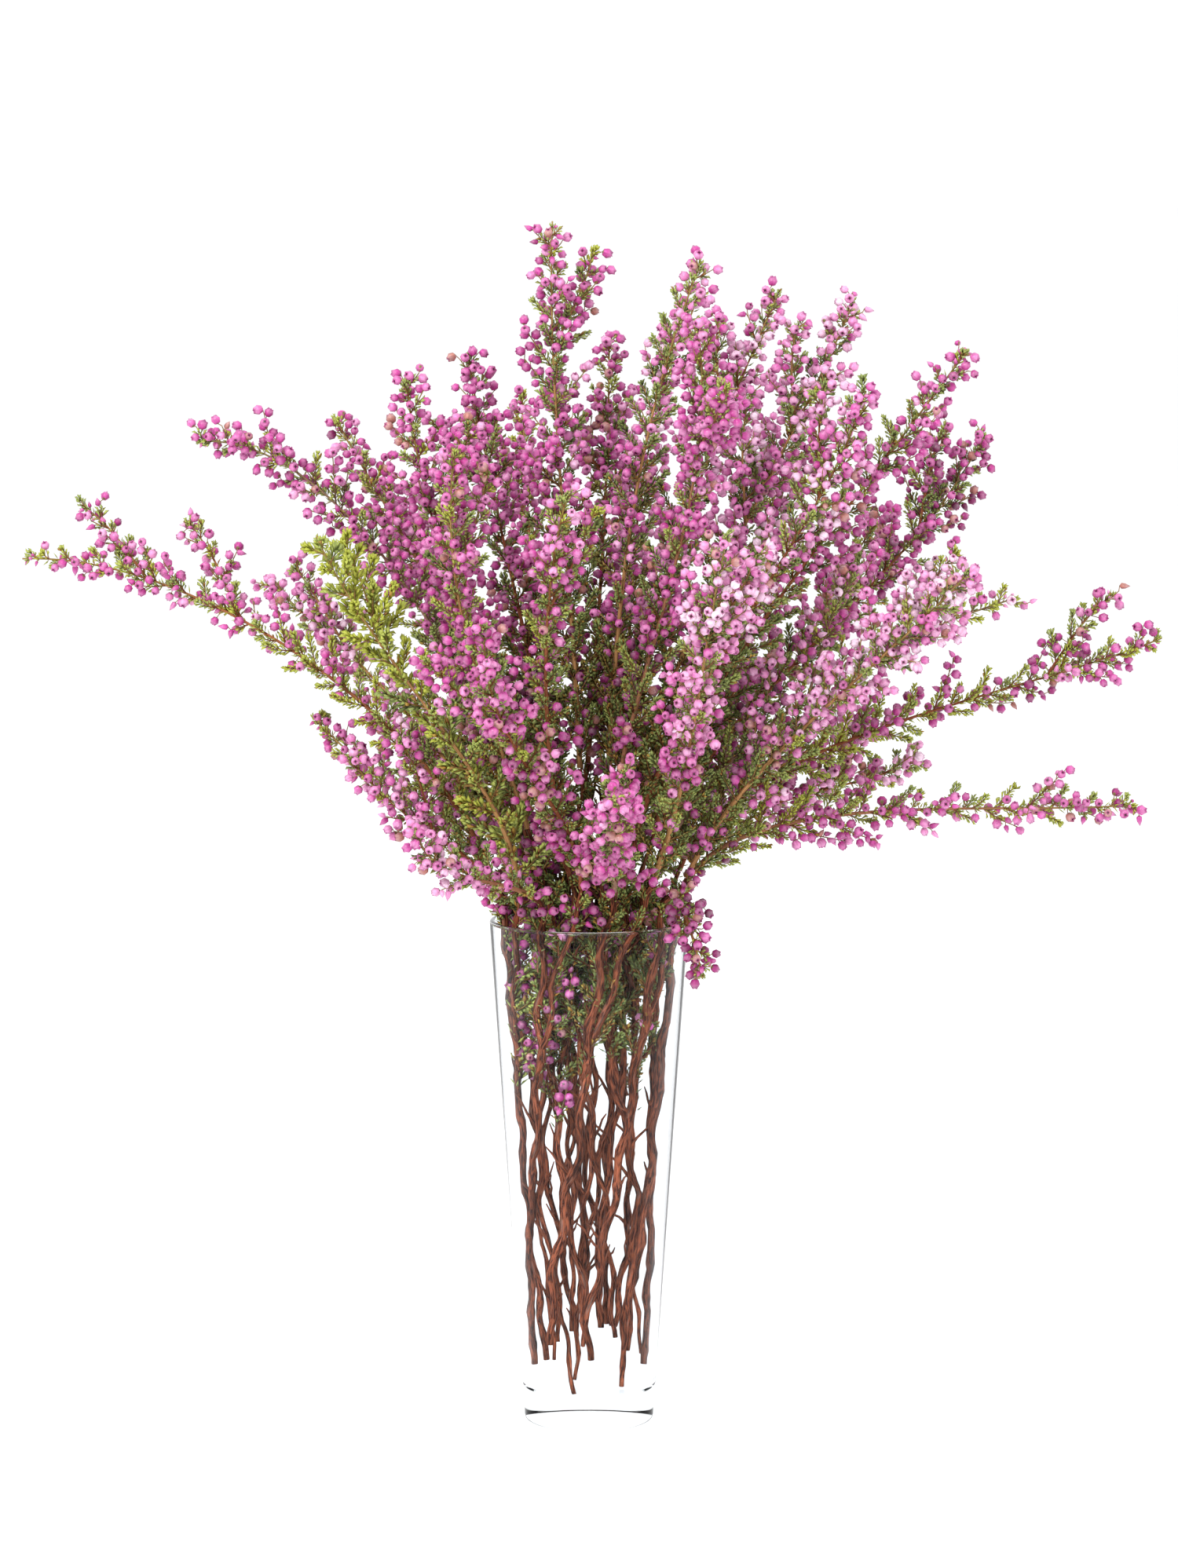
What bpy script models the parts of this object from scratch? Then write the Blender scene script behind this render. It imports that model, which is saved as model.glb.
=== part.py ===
"""Cut heather in a clear glass vase.

A turned glass vase holds 22 woody stems. They stand in three rings, and each ring turns its own way
on the way up, so that the stems cross in view and never meet. Most stems fork inside the vase. Above
the rim every branch goes on as a flowering spray: a slim core with bells and leaves raised from its
four sides, and on nearly every spray a side shoot or two.
Lengths are metres, +Z is up, the origin is the middle of the vase's foot, and the front faces -Y.
"""

import math
import random
from collections import namedtuple

import bmesh
import bpy
from mathutils import Matrix, Vector
from mathutils.kdtree import KDTree

# Glass vase
VASE_HEIGHT = 0.200
FOOT_RADIUS = 0.0255
RIM_RADIUS = 0.0392
WALL = 0.0026
BASE_THICKNESS = 0.012
FOOT_EDGE = 0.0025
INNER_EDGE = 0.004
RIM_EDGE = 0.0009
CORNER_SHARE = 0.3
VASE_SIDES = 32
GLASS_LEVELS, GLASS_SIDES = 40, 60
GLASS_ROOM = 0.0025

# Woody stems
GAP = 0.0003
JOINT_GAP = 0.00045
STEM_SIDES_RESOLUTION = 1
STEM_STEP, STEP_ABOVE = 0.030, 0.034
SAMPLE_STEP = 0.002
STEM_RADIUS = 0.0023
RIM_SHARE = 0.74
END_SHARE = 0.55
FORK_SHARE = 0.80
CUT_LOWEST, CUT_HIGHEST, CUT_TILT = 0.021, 0.044, 0.0005
FORK_LOWEST, FORK_HIGHEST = 0.128, 0.166
FORK_EASE = 1.2
FORK_ROOT = 0.004
RADIAL_SWAY = 0.0006
LONG_WAVE, SHORT_WAVE = 0.105, 0.047
LONG_WAVE_SHARE, SHORT_WAVE_SHARE = 0.65, 0.35
LEAN_MOST, LEAN_ROUNDS = 0.016, 18
LEAN_HEIGHT_OUTER = 0.193
LEAN_SPREAD = 0.030
LEAN_LOWEST, LEAN_HIGHEST = 0.060, 0.150
LEANS_ON_GLASS_ABOVE = 0.100
SAME_LEVEL = 0.0015
SHARP_ANGLE = math.radians(60)
WELD = 0.00001

# Flowering sprays
START_PULL, END_PULL, LEAST_PULL = 0.30, 0.34, 0.024
RIM_RUN = 0.004
BOW = 0.10
AXIS_STEP = 0.0025
AXIS_CURVE_STEPS, SHOOT_CURVE_STEPS = 60, 20
ROW, INNER_ROW = 0.0168, 0.030
ROW_TURN = math.radians(24)
ROOT_RADIUS, CORE_RADIUS, CORE_TIP_RADIUS = 0.0013, 0.0029, 0.0017
LEAST_CORE_RADIUS = 0.0011
BELL_LENGTH = 0.101
REACH, TIP_REACH, SHOOT_REACH = 0.0150, 0.0110, 0.0120
REACH_RANGE = (0.88, 1.06)
BELL, TIP_BELL = 0.0112, 0.0088
BELL_RANGE = (0.92, 1.05)
BELL_TRIES = (1.0, 0.86, 0.72)
LEAST_BELL_REACH = 0.0088
BELLY_SHARE, BELLY_HALF = 0.58, 0.46
BELL_DROOP = 0.0022
LEAF_SHARE, LEAF_LEAN = 0.88, 0.0050
LEAF_TRIES = (1.0, 0.8, 0.6, 0.45)
LEAST_LEAF_REACH = 0.0045
ROOM = 0.00045
LOWEST_NEAR_SPRAYS = 0.120
SHOOTS_FROM_TIP = (0.052, 0.088)
SHOOT_PLACE_RANGE = (0.9, 1.1)
LEAST_SHOOT_FOOT = 0.030
SHOOT_LENGTH, SHOOT_LONGER = 0.042, 0.008
SHOOT_ANGLE = math.radians(38)
SHOOT_BEND = 0.1
SHOOT_WAYS = 12
SHOOT_ROOT_POINTS = 3
HEIGHT_WORTH = 0.5

SEED = 11

Ring = namedtuple("Ring", "name first_angle turn foot_radius rim_radius sway wood_above stems")
Tip = namedtuple("Tip", "x y z lift kind shoots")

# Where each branch of a stem ends, anticlockwise from +X, and how far its end turns up or down.
# Two tips make a forked stem.
OUTER_TIPS = (
    (Tip(0.211, -0.010, 0.246, -0.35, "magenta", 0), Tip(0.229, 0.052, 0.306, 0.05, "magenta", 1)),
    (Tip(0.135, 0.100, 0.252, 0.2, "lilac", 1), Tip(0.122, 0.122, 0.350, 0.2, "magenta", 1)),
    (Tip(0.088, 0.128, 0.262, 0.1, "deep", 1), Tip(-0.028, 0.134, 0.400, 0.2, "magenta", 1)),
    (Tip(-0.070, 0.118, 0.254, 0.2, "magenta", 1), Tip(-0.130, 0.098, 0.324, 0.2, "lilac", 1)),
    (Tip(-0.109, 0.038, 0.275, 0.7, "magenta", 0), Tip(-0.2226, 0.020, 0.340, -0.45, "magenta", 2)),
    (Tip(-0.092, -0.028, 0.266, 0.3, "lilac", 1), Tip(-0.101, -0.072, 0.352, 0.1, "leafy", 1)),
    (Tip(-0.064, -0.090, 0.244, 0.3, "lilac", 0), Tip(-0.038, -0.128, 0.325, 0.2, "magenta", 1)),
    (Tip(0.012, -0.128, 0.262, 0.2, "magenta", 1), Tip(0.050, -0.130, 0.358, 0.2, "lilac", 1)),
    (Tip(0.043, -0.055, 0.187, -2.0, "deep", 0), Tip(0.142, -0.078, 0.342, 0.2, "lilac", 1)),
)
MIDDLE_TIPS = (
    (Tip(0.166, 0.010, 0.325, -0.6, "lilac", 2), Tip(0.158, 0.070, 0.385, 0.3, "deep", 1)),
    (Tip(0.088, 0.108, 0.392, 0.2, "magenta", 1),),
    (Tip(0.032, 0.112, 0.402, 0.2, "lilac", 1), Tip(-0.084, 0.088, 0.366, 0.2, "magenta", 1)),
    (Tip(-0.101, 0.056, 0.393, 0.8, "magenta", 0),),
    (Tip(-0.150, 0.000, 0.387, -1.0, "magenta", 0), Tip(-0.069, -0.036, 0.411, 0.2, "magenta", 1)),
    (Tip(-0.050, -0.088, 0.386, 0.2, "magenta", 1),),
    (Tip(-0.008, -0.106, 0.372, 0.2, "leafy", 1), Tip(0.040, -0.080, 0.434, 0.2, "magenta", 1)),
    (Tip(0.102, -0.080, 0.410, 0.2, "lilac", 1), Tip(0.143, -0.035, 0.422, 0.3, "magenta", 0)),
)
INNER_TIPS = (
    (Tip(0.102, 0.010, 0.439, 0.2, "lilac", 2),),
    (Tip(0.075, 0.052, 0.443, 0.2, "lilac", 1),),
    (Tip(0.008, 0.050, 0.424, 0.2, "magenta", 1), Tip(-0.047, 0.014, 0.419, 0.2, "magenta", 1)),
    (Tip(-0.014, -0.020, 0.472, 0.2, "magenta", 1),),
    (Tip(0.042, -0.036, 0.455, 0.2, "leafy", 1),),
)
RINGS = (
    Ring("outer", 0.0, math.radians(75), 0.0202, 0.0330, 0.0022, 0.018, OUTER_TIPS),
    Ring("middle", math.radians(10), math.radians(-100), 0.0130, 0.0208, 0.0009, 0.040, MIDDLE_TIPS),
    Ring("inner", 0.0, math.radians(60), 0.0062, 0.0092, 0.0005, 0.060, INNER_TIPS),
)

# Linear colours, with the roughness of each
FINISHES = {
    "glass": ((0.90, 0.95, 0.97), 0.05),
    "wood": ((0.130, 0.045, 0.022), 0.65),
    "magenta": ((0.480, 0.055, 0.290), 0.60),
    "lilac": ((0.640, 0.270, 0.500), 0.60),
    "deep": ((0.300, 0.020, 0.160), 0.60),
    "leafy": ((0.190, 0.260, 0.045), 0.60),
}


def ease(share):
    """0 up to 1 as share goes from 0 to 1, and flat outside."""
    return min(max(share, 0.0), 1.0) ** FORK_EASE


def vase_radius(z):
    """The vase's outer radius at one height: a straight taper."""
    return FOOT_RADIUS + (RIM_RADIUS - FOOT_RADIUS) * z / VASE_HEIGHT


def running_lengths(points):
    """How far along a polyline each of its points is."""
    lengths = [0.0]
    for first, second in zip(points, points[1:]):
        lengths.append(lengths[-1] + (second - first).length)
    return lengths


def point_at(points, lengths, distance):
    """The point a distance along a polyline whose running lengths are known."""
    for i in range(1, len(points)):
        if lengths[i] >= distance or i == len(points) - 1:
            part = (distance - lengths[i - 1]) / max(lengths[i] - lengths[i - 1], 1e-9)
            return points[i - 1].lerp(points[i], min(max(part, 0.0), 1.0))
    return points[-1]


def spread_out(points, step):
    """Even points along a polyline, step apart or a little less."""
    lengths = running_lengths(points)
    count = max(1, math.ceil(lengths[-1] / step - 1e-6))
    return [point_at(points, lengths, lengths[-1] * i / count) for i in range(count + 1)]


def stretch(points, start, end=math.inf):
    """The part of a polyline from one distance along it to another, or to its end."""
    lengths = running_lengths(points)
    end = min(end, lengths[-1])
    inside = [p for p, at in zip(points, lengths) if start + 1e-5 < at < end - 1e-5]
    return [point_at(points, lengths, start)] + inside + [point_at(points, lengths, end)]


def bezier(start, start_pull, end_pull, end, count):
    """Points on the cubic curve between two ends, each pulled by its own handle."""
    places = []
    for i in range(count + 1):
        t = i / count
        places.append(
            start * (1 - t) ** 3
            + (start + start_pull) * 3 * t * (1 - t) ** 2
            + (end + end_pull) * 3 * t**2 * (1 - t)
            + end * t**3
        )
    return places


class Stem:
    """One cut branch: its way up through the vase, and where it forks."""

    def __init__(self, ring, number, angle, draw):
        self.ring, self.number, self.angle = ring, number, angle
        self.cut = draw.uniform(CUT_LOWEST, CUT_HIGHEST)
        self.fork = draw.uniform(FORK_LOWEST, FORK_HIGHEST)
        self.long_phase = draw.uniform(0, 2 * math.pi)
        self.short_phase = draw.uniform(0, 2 * math.pi)
        self.lean, self.lean_height, self.lean_way = 0.0, 0.0, Vector((0, 0, 0))
        self.branches = []

    def point(self, z, aside=0.0):
        """The middle of the wood at height z. aside is the angle by which a branch has left at the rim."""
        ring, share = self.ring, z / VASE_HEIGHT
        radius = ring.foot_radius + (ring.rim_radius - ring.foot_radius) * share
        radius += RADIAL_SWAY * math.sin(2 * math.pi * z / LONG_WAVE + self.short_phase)
        sway = LONG_WAVE_SHARE * math.sin(2 * math.pi * z / LONG_WAVE + self.long_phase)
        sway += SHORT_WAVE_SHARE * math.sin(2 * math.pi * z / SHORT_WAVE + self.short_phase)
        angle = self.angle - ring.turn * (1 - share) + ring.sway * sway / radius
        angle += aside * ease((z - self.fork) / (VASE_HEIGHT - self.fork))
        place = Vector((radius * math.cos(angle), radius * math.sin(angle), z))
        return place + self.lean_way * self.lean * math.exp(-(((z - self.lean_height) / LEAN_SPREAD) ** 2))

    def radius(self, z):
        """The wood's radius at height z."""
        return STEM_RADIUS * (1 - (1 - RIM_SHARE) * z / VASE_HEIGHT)


class Branch:
    """What leaves the rim on one axis: a length of bare wood and then a spray."""

    def __init__(self, name, stem, aside, tip, draw):
        self.name, self.stem, self.aside, self.tip = name, stem, aside, tip
        self.bow = Vector([draw.uniform(-BOW, BOW) for _ in range(3)])
        self.shoots = []

    def fly(self):
        """Works out the axis above the rim, a curve from the stem's own direction to the tip."""
        start = self.stem.point(VASE_HEIGHT, self.aside)
        below = self.stem.point(VASE_HEIGHT - RIM_RUN, self.aside)
        end = Vector((self.tip.x, self.tip.y, self.tip.z))
        span = (end - start).length
        way = (end - start).normalized()
        start_pull = (start - below).normalized() * max(START_PULL * span, LEAST_PULL)
        end_pull = -(way + Vector((0, 0, self.tip.lift))).normalized() * max(END_PULL * span, LEAST_PULL)
        end_pull += self.bow * span
        self.axis = spread_out(bezier(start, start_pull, end_pull, end, AXIS_CURVE_STEPS), AXIS_STEP)

    def inside(self):
        """Points up the wood to the rim: from the cut end, or from just below the fork."""
        start = self.stem.cut if self is self.stem.branches[0] else self.stem.fork - FORK_ROOT
        count = math.ceil((VASE_HEIGHT - start) / STEM_STEP)
        rise = (VASE_HEIGHT - start) / count
        return [self.stem.point(start + rise * i, self.aside) for i in range(count + 1)]

    def wood(self):
        """The bare wood above the rim."""
        return stretch(self.axis, 0.0, self.stem.ring.wood_above)

    def spray(self):
        """The spray's axis, from a gap above the wood."""
        return stretch(self.axis, self.stem.ring.wood_above + JOINT_GAP)


def make_stems(draw):
    """All the stems with their branches, ring by ring."""
    stems = []
    for ring in RINGS:
        slots = sum(len(tips) for tips in ring.stems)
        slot = 2 * math.pi / slots
        used = 0
        for number, tips in enumerate(ring.stems, start=1):
            middle = ring.first_angle + slot * (used + (len(tips) - 1) / 2)
            stem = Stem(ring, number, middle, draw)
            for place, tip in enumerate(tips):
                word = ("", "") if len(tips) == 1 else ("_low", "_high")
                name = f"spray_{ring.name}_{number}{word[place]}"
                aside = slot * (place - (len(tips) - 1) / 2)
                stem.branches.append(Branch(name, stem, aside, tip, draw))
            used += len(tips)
            stems.append(stem)
    return stems


def stand_on_floor(stems):
    """Lets every third stem of the middle ring stand on the vase's floor."""
    middle = [stem for stem in stems if stem.ring.name == "middle"]
    for stem in middle[::3]:
        stem.cut = BASE_THICKNESS + GAP + CUT_TILT


def samples(stem, low=0.0, high=VASE_HEIGHT):
    """Points with their radius all along a stem's wood inside the vase, both branches included."""
    found = []
    for branch in stem.branches:
        for place in spread_out(branch.inside(), SAMPLE_STEP):
            if low <= place.z <= high:
                found.append((place, stem.radius(place.z)))
    return found


def clearance(stem, others):
    """The least distance between a stem's wood and other wood."""
    return min(
        (place - other).length - radius - other_radius
        for place, radius in samples(stem)
        for other, other_radius in others
    )


def lean_until(stem, gap_left):
    """Leans a stem by the amount at which gap_left() comes down to the standing gap."""
    low, high = 0.0, LEAN_MOST
    for _ in range(LEAN_ROUNDS):
        stem.lean = (low + high) / 2
        low, high = (stem.lean, high) if gap_left() > GAP else (low, stem.lean)
    stem.lean = low


def seat_stems(stems):
    """Leans each outer stem on the rim, and each other stem on the ring around it."""
    outer, middle, inner = (
        [stem for stem in stems if stem.ring.name == ring.name] for ring in RINGS
    )
    flat = math.cos(math.pi / VASE_SIDES)
    for stem in outer:
        radial = stem.point(LEAN_HEIGHT_OUTER)
        stem.lean_way = Vector((radial.x, radial.y, 0)).normalized()
        stem.lean_height = LEAN_HEIGHT_OUTER

        def to_glass(stem=stem):
            return min(
                (vase_radius(place.z) - WALL) * flat - place.xy.length - radius
                for place, radius in samples(stem, LEANS_ON_GLASS_ABOVE, VASE_HEIGHT - RIM_EDGE)
            )

        lean_until(stem, to_glass)
    for ring, around in ((middle, outer), (inner, middle)):
        wood = [sample for stem in around for sample in samples(stem)]
        for stem in ring:
            near = min(
                (
                    ((place - other).length, other - place, place.z)
                    for place, _ in samples(stem, LEAN_LOWEST, LEAN_HIGHEST)
                    for other, _ in wood
                    if abs(place.z - other.z) < SAME_LEVEL
                ),
                key=lambda found: found[0],
            )
            stem.lean_way = Vector((near[1].x, near[1].y, 0)).normalized()
            stem.lean_height = near[2]
            lean_until(stem, lambda stem=stem, wood=wood: clearance(stem, wood))


def side_shoots(branches, draw):
    """Gives each branch its side shoots, each turned to where it has the most room."""
    axes = {branch.name: branch.axis for branch in branches}
    for branch in branches:
        others = tree_of(p for name, axis in axes.items() if name != branch.name for p in axis)
        spray = branch.spray()
        length = running_lengths(spray)[-1]
        for number in range(branch.tip.shoots):
            from_tip = SHOOTS_FROM_TIP[number] * draw.uniform(*SHOOT_PLACE_RANGE)
            root, ahead = stretch(spray, max(length - from_tip, LEAST_SHOOT_FOOT))[:2]
            way = (ahead - root).normalized()
            reach = SHOOT_LENGTH + SHOOT_LONGER * number
            turns = [2 * math.pi * i / SHOOT_WAYS for i in range(SHOOT_WAYS)]
            best = max(
                (shoot_axis(root, way, reach, turn) for turn in turns),
                key=lambda axis: room_along(axis, others) + HEIGHT_WORTH * axis[-1].z,
            )
            branch.shoots.append(best)
            axes[f"{branch.name} {number}"] = best


def room_along(axis, others):
    """The least distance from an axis, past its root, to the other axes."""
    return min(others.find(place)[2] for place in axis[SHOOT_ROOT_POINTS:])


def shoot_axis(root, way, length, turn):
    """A side shoot's axis: it leaves at an angle and bends back along its parent."""
    aside = way.orthogonal().normalized()
    aside.rotate(Matrix.Rotation(turn, 3, way))
    leave = way * math.cos(SHOOT_ANGLE) + aside * math.sin(SHOOT_ANGLE)
    end = root + leave.lerp(way, SHOOT_BEND).normalized() * length
    pull = length / 3
    curve = bezier(root, leave * pull, -(leave + way).normalized() * pull, end, SHOOT_CURVE_STEPS)
    return spread_out(curve, AXIS_STEP)


def tree_of(points):
    """A search tree over points."""
    points = list(points)
    tree = KDTree(len(points))
    for i, point in enumerate(points):
        tree.insert(point, i)
    tree.balance()
    return tree


class Surroundings:
    """What is near one axis: its own family's other axes, the other sprays, the wood and the glass."""

    def __init__(self, own, family, sprays, wood, glass):
        self.own, self.family = tree_of(own), tree_of(family) if family else None
        self.sprays, self.wood, self.glass = sprays, wood, glass

    def has_room(self, point):
        """Whether a point is on its own axis's side of every halfway surface."""
        own = self.own.find(point)[2]
        if self.family and self.family.find(point)[2] < own:
            return False
        if self.sprays.find(point)[2] < own + 2 * ROOM:
            return False
        return (
            self.wood.find(point)[2] > STEM_RADIUS + ROOM
            and self.glass.find(point)[2] > GLASS_ROOM
        )


def glass_points():
    """Points all over the middle of the vase's wall."""
    points = []
    for level in range(GLASS_LEVELS + 1):
        z = VASE_HEIGHT * level / GLASS_LEVELS
        radius = vase_radius(z) - WALL / 2
        for side in range(GLASS_SIDES):
            angle = 2 * math.pi * side / GLASS_SIDES
            points.append(Vector((radius * math.cos(angle), radius * math.sin(angle), z)))
    return points


def material(kind):
    """The finish of one kind of piece, made once."""
    found = bpy.data.materials.get(kind)
    if found:
        return found
    made = bpy.data.materials.new(kind)
    made.use_nodes = True
    shader = made.node_tree.nodes["Principled BSDF"]
    colour, roughness = FINISHES[kind]
    shader.inputs["Base Color"].default_value = (*colour, 1)
    shader.inputs["Roughness"].default_value = roughness
    shader.inputs["Metallic"].default_value = 0.0
    if kind == "glass":
        shader.inputs["Transmission Weight"].default_value = 1.0
        shader.inputs["IOR"].default_value = 1.5
    made.diffuse_color = (*colour, 1)
    return made


def tube_mesh(name, points, radii, resolution, turn=0.0):
    """A closed tube through points as a mesh, from a curve object with a bevel."""
    curve = bpy.data.curves.new(name, "CURVE")
    curve.dimensions = "3D"
    curve.bevel_depth = 1.0
    curve.bevel_resolution = resolution
    curve.use_fill_caps = True
    spline = curve.splines.new("POLY")
    spline.points.add(len(points) - 1)
    for i, (place, radius) in enumerate(zip(points, radii)):
        spline.points[i].co = (*place, 1)
        spline.points[i].radius = radius
        spline.points[i].tilt = turn * i
    guide = bpy.data.objects.new(name, curve)
    bpy.context.scene.collection.objects.link(guide)
    graph = bpy.context.evaluated_depsgraph_get()
    mesh = bpy.data.meshes.new_from_object(guide.evaluated_get(graph), depsgraph=graph)
    bpy.data.objects.remove(guide)
    bpy.data.curves.remove(curve)
    return mesh


def weld(mesh):
    """Joins a tube's caps to its sides."""
    shape = bmesh.new()
    shape.from_mesh(mesh)
    bmesh.ops.remove_doubles(shape, verts=shape.verts, dist=WELD)
    shape.to_mesh(mesh)
    shape.free()


def add_object(name, mesh, kind, collection):
    """Puts a mesh in the model as one named piece with its material."""
    piece = bpy.data.objects.new(name, mesh)
    mesh.materials.clear()
    mesh.materials.append(material(kind))
    collection.objects.link(piece)
    return piece


def fuse(piece, meshes, solver):
    """Joins meshes to a piece with one Boolean union on a collection, applied."""
    if not meshes:
        return
    group = bpy.data.collections.new(f"{piece.name}_added")
    bpy.context.scene.collection.children.link(group)
    for mesh in meshes:
        group.objects.link(bpy.data.objects.new(mesh.name, mesh))
    union = piece.modifiers.new("union", "BOOLEAN")
    union.operation, union.solver = "UNION", solver
    union.operand_type, union.collection = "COLLECTION", group
    graph = bpy.context.evaluated_depsgraph_get()
    joined = bpy.data.meshes.new_from_object(piece.evaluated_get(graph), depsgraph=graph)
    piece.modifiers.clear()
    finish = piece.data.materials[0]
    piece.data = joined
    joined.materials.clear()
    joined.materials.append(finish)
    for added in list(group.objects):
        bpy.data.objects.remove(added)
    bpy.data.collections.remove(group)


def add_vase(collection):
    """The vase: its profile from the floor inside, over the rim and down to the foot, turned."""
    floor_radius = vase_radius(BASE_THICKNESS) - WALL
    rim = vase_radius(VASE_HEIGHT)
    profile = [
        (0.0, BASE_THICKNESS),
        (floor_radius - INNER_EDGE, BASE_THICKNESS),
        (floor_radius - INNER_EDGE * CORNER_SHARE, BASE_THICKNESS + INNER_EDGE * CORNER_SHARE),
        (vase_radius(BASE_THICKNESS + INNER_EDGE) - WALL, BASE_THICKNESS + INNER_EDGE),
        (rim - WALL, VASE_HEIGHT - RIM_EDGE),
        (rim - WALL + RIM_EDGE, VASE_HEIGHT),
        (rim - RIM_EDGE, VASE_HEIGHT),
        (rim, VASE_HEIGHT - RIM_EDGE),
        (vase_radius(FOOT_EDGE), FOOT_EDGE),
        (FOOT_RADIUS - FOOT_EDGE * CORNER_SHARE, FOOT_EDGE * CORNER_SHARE),
        (FOOT_RADIUS - FOOT_EDGE, 0.0),
        (0.0, 0.0),
    ]
    outline = bpy.data.meshes.new("glass_vase")
    outline.from_pydata(
        [(x, 0, z) for x, z in profile], [(i, i + 1) for i in range(len(profile) - 1)], []
    )
    vase = add_object("glass_vase", outline, "glass", collection)
    turned = vase.modifiers.new("turned", "SCREW")
    turned.steps = turned.render_steps = VASE_SIDES
    turned.use_merge_vertices = True
    turned.merge_threshold = 0.0001
    turned.use_normal_calculate = False
    turned.use_smooth_shade = True


def add_stem(stem, collection):
    """One stem as a tube from its cut end, with its second branch joined on."""
    tubes = []
    for branch in stem.branches:
        inside, wood = branch.inside(), branch.wood()
        above = spread_out(wood[:-1], STEP_ABOVE)[1:] + wood[-1:]
        points = inside + above
        radii = [stem.radius(place.z) for place in inside]
        for i in range(1, len(above) + 1):
            radii.append(STEM_RADIUS * (RIM_SHARE + (END_SHARE - RIM_SHARE) * i / len(above)))
        if branch is not stem.branches[0]:
            radii = [radius * FORK_SHARE for radius in radii]
        tube = tube_mesh(branch.name, points, radii, STEM_SIDES_RESOLUTION)
        weld(tube)
        tubes.append(tube)
    name = f"stem_{stem.ring.name}_{stem.number}"
    piece = add_object(name, tubes[0], "wood", collection)
    fuse(piece, tubes[1:], "EXACT")
    piece.data.shade_smooth()
    piece.data.set_sharp_from_angle(angle=SHARP_ANGLE)


def raise_bell(shape, quad, middle, way, out, reach, size):
    """Draws a four-sided bell out of one side of the core: up to its belly, then to its mouth."""
    side = way.cross(out).normalized()
    centre = quad.calc_center_median()
    corners = []
    for vertex in quad.verts:
        from_centre = vertex.co - centre
        along = math.copysign(1, from_centre.dot(way))
        across = math.copysign(1, from_centre.dot(side))
        corners.append(way * along + side * across)
    top = bmesh.ops.extrude_discrete_faces(shape, faces=[quad])["faces"][0]
    belly = middle + out * (reach - size * BELLY_SHARE)
    for vertex, corner in zip(top.verts, corners):
        vertex.co = belly + corner * size * BELLY_HALF
    mouth = bmesh.ops.poke(shape, faces=[top])["verts"][0]
    mouth.co = middle + out * reach - way * BELL_DROOP


def bell_points(middle, way, out, reach, size):
    """The outer points of a bell, to see whether it has room."""
    side = way.cross(out).normalized()
    belly = middle + out * (reach - size * BELLY_SHARE)
    points = [
        belly + (way * along + side * across) * size * BELLY_HALF
        for along in (-1, 1)
        for across in (-1, 1)
    ]
    return points + [middle + out * reach - way * BELL_DROOP]


def bell_reach(middle, way, out, full, size, around):
    """How far a bell may reach here, or None where it has no room."""
    for share in BELL_TRIES:
        reach = full * share
        if reach < LEAST_BELL_REACH:
            return None
        if all(around.has_room(point) for point in bell_points(middle, way, out, reach, size)):
            return reach
    return None


def leaf_point(middle, way, out, full, around):
    """Where the point of a leafy tuft goes, or None where it has no room."""
    for share in LEAF_TRIES:
        reach = full * LEAF_SHARE * share
        place = middle + out * reach + way * LEAF_LEAN
        if reach > LEAST_LEAF_REACH and around.has_room(place):
            return place
    return None


def row_places(axis):
    """The rows of a spray: a short first one, wide ones without bells, and close ones to the tip."""
    bare = max(0.0, running_lengths(axis)[-1] - BELL_LENGTH)
    if bare < INNER_ROW:
        return axis[:1] + spread_out(axis[1:], ROW), 1
    inner = spread_out(stretch(axis[1:], 0.0, bare), INNER_ROW)
    outer = spread_out(stretch(axis[1:], bare), ROW)
    return axis[:1] + inner + outer[1:], len(inner)


def core_radii(rows, sprays):
    """The core's radius at each row: thin at the root, and narrower where another spray is near."""
    radii = []
    for i, row in enumerate(rows):
        share = i / (len(rows) - 1)
        radius = CORE_RADIUS + (CORE_TIP_RADIUS - CORE_RADIUS) * share if i else ROOT_RADIUS
        radii.append(max(LEAST_CORE_RADIUS, min(radius, sprays.find(row)[2] / 2 - ROOM)))
    return radii


def spray_mesh(name, axis, reach, kind, around, draw):
    """A spray: a four-sided core with bells and leaves raised from every side."""
    rows, first_bell = row_places(axis)
    mesh = tube_mesh(name, rows, core_radii(rows, around.sprays), 0, ROW_TURN)
    shape = bmesh.new()
    shape.from_mesh(mesh)
    shape.faces.ensure_lookup_table()
    quads = [face for face in shape.faces if len(face.verts) == 4]
    for index, quad in enumerate(quads):
        row, side = divmod(index, 4)
        if row == 0:
            continue
        middle = (rows[row] + rows[row + 1]) / 2
        way = (rows[row + 1] - rows[row]).normalized()
        out = quad.calc_center_median() - middle
        out = (out - way * out.dot(way)).normalized()
        share = (row + 0.5) / (len(rows) - 1)
        full = (reach + (TIP_REACH - reach) * share**2) * draw.uniform(*REACH_RANGE)
        size = (BELL + (TIP_BELL - BELL) * share) * draw.uniform(*BELL_RANGE)
        room = None
        if kind != "leafy" and row >= first_bell and (row + side) % 2 == 0:
            room = bell_reach(middle, way, out, full, size, around)
        leaf = leaf_point(middle, way, out, full, around)
        if room:
            raise_bell(shape, quad, middle, way, out, room, size)
        elif leaf:
            point = bmesh.ops.poke(shape, faces=[quad])["verts"][0]
            point.co = leaf
    bmesh.ops.remove_doubles(shape, verts=shape.verts, dist=WELD)
    bmesh.ops.triangulate(shape, faces=shape.faces)
    shape.to_mesh(mesh)
    shape.free()
    return mesh


def axis_points(branches):
    """The points of the axes of sprays and of their side shoots."""
    points = []
    for branch in branches:
        points += branch.spray()
        for shoot in branch.shoots:
            points += shoot
    return points


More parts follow.
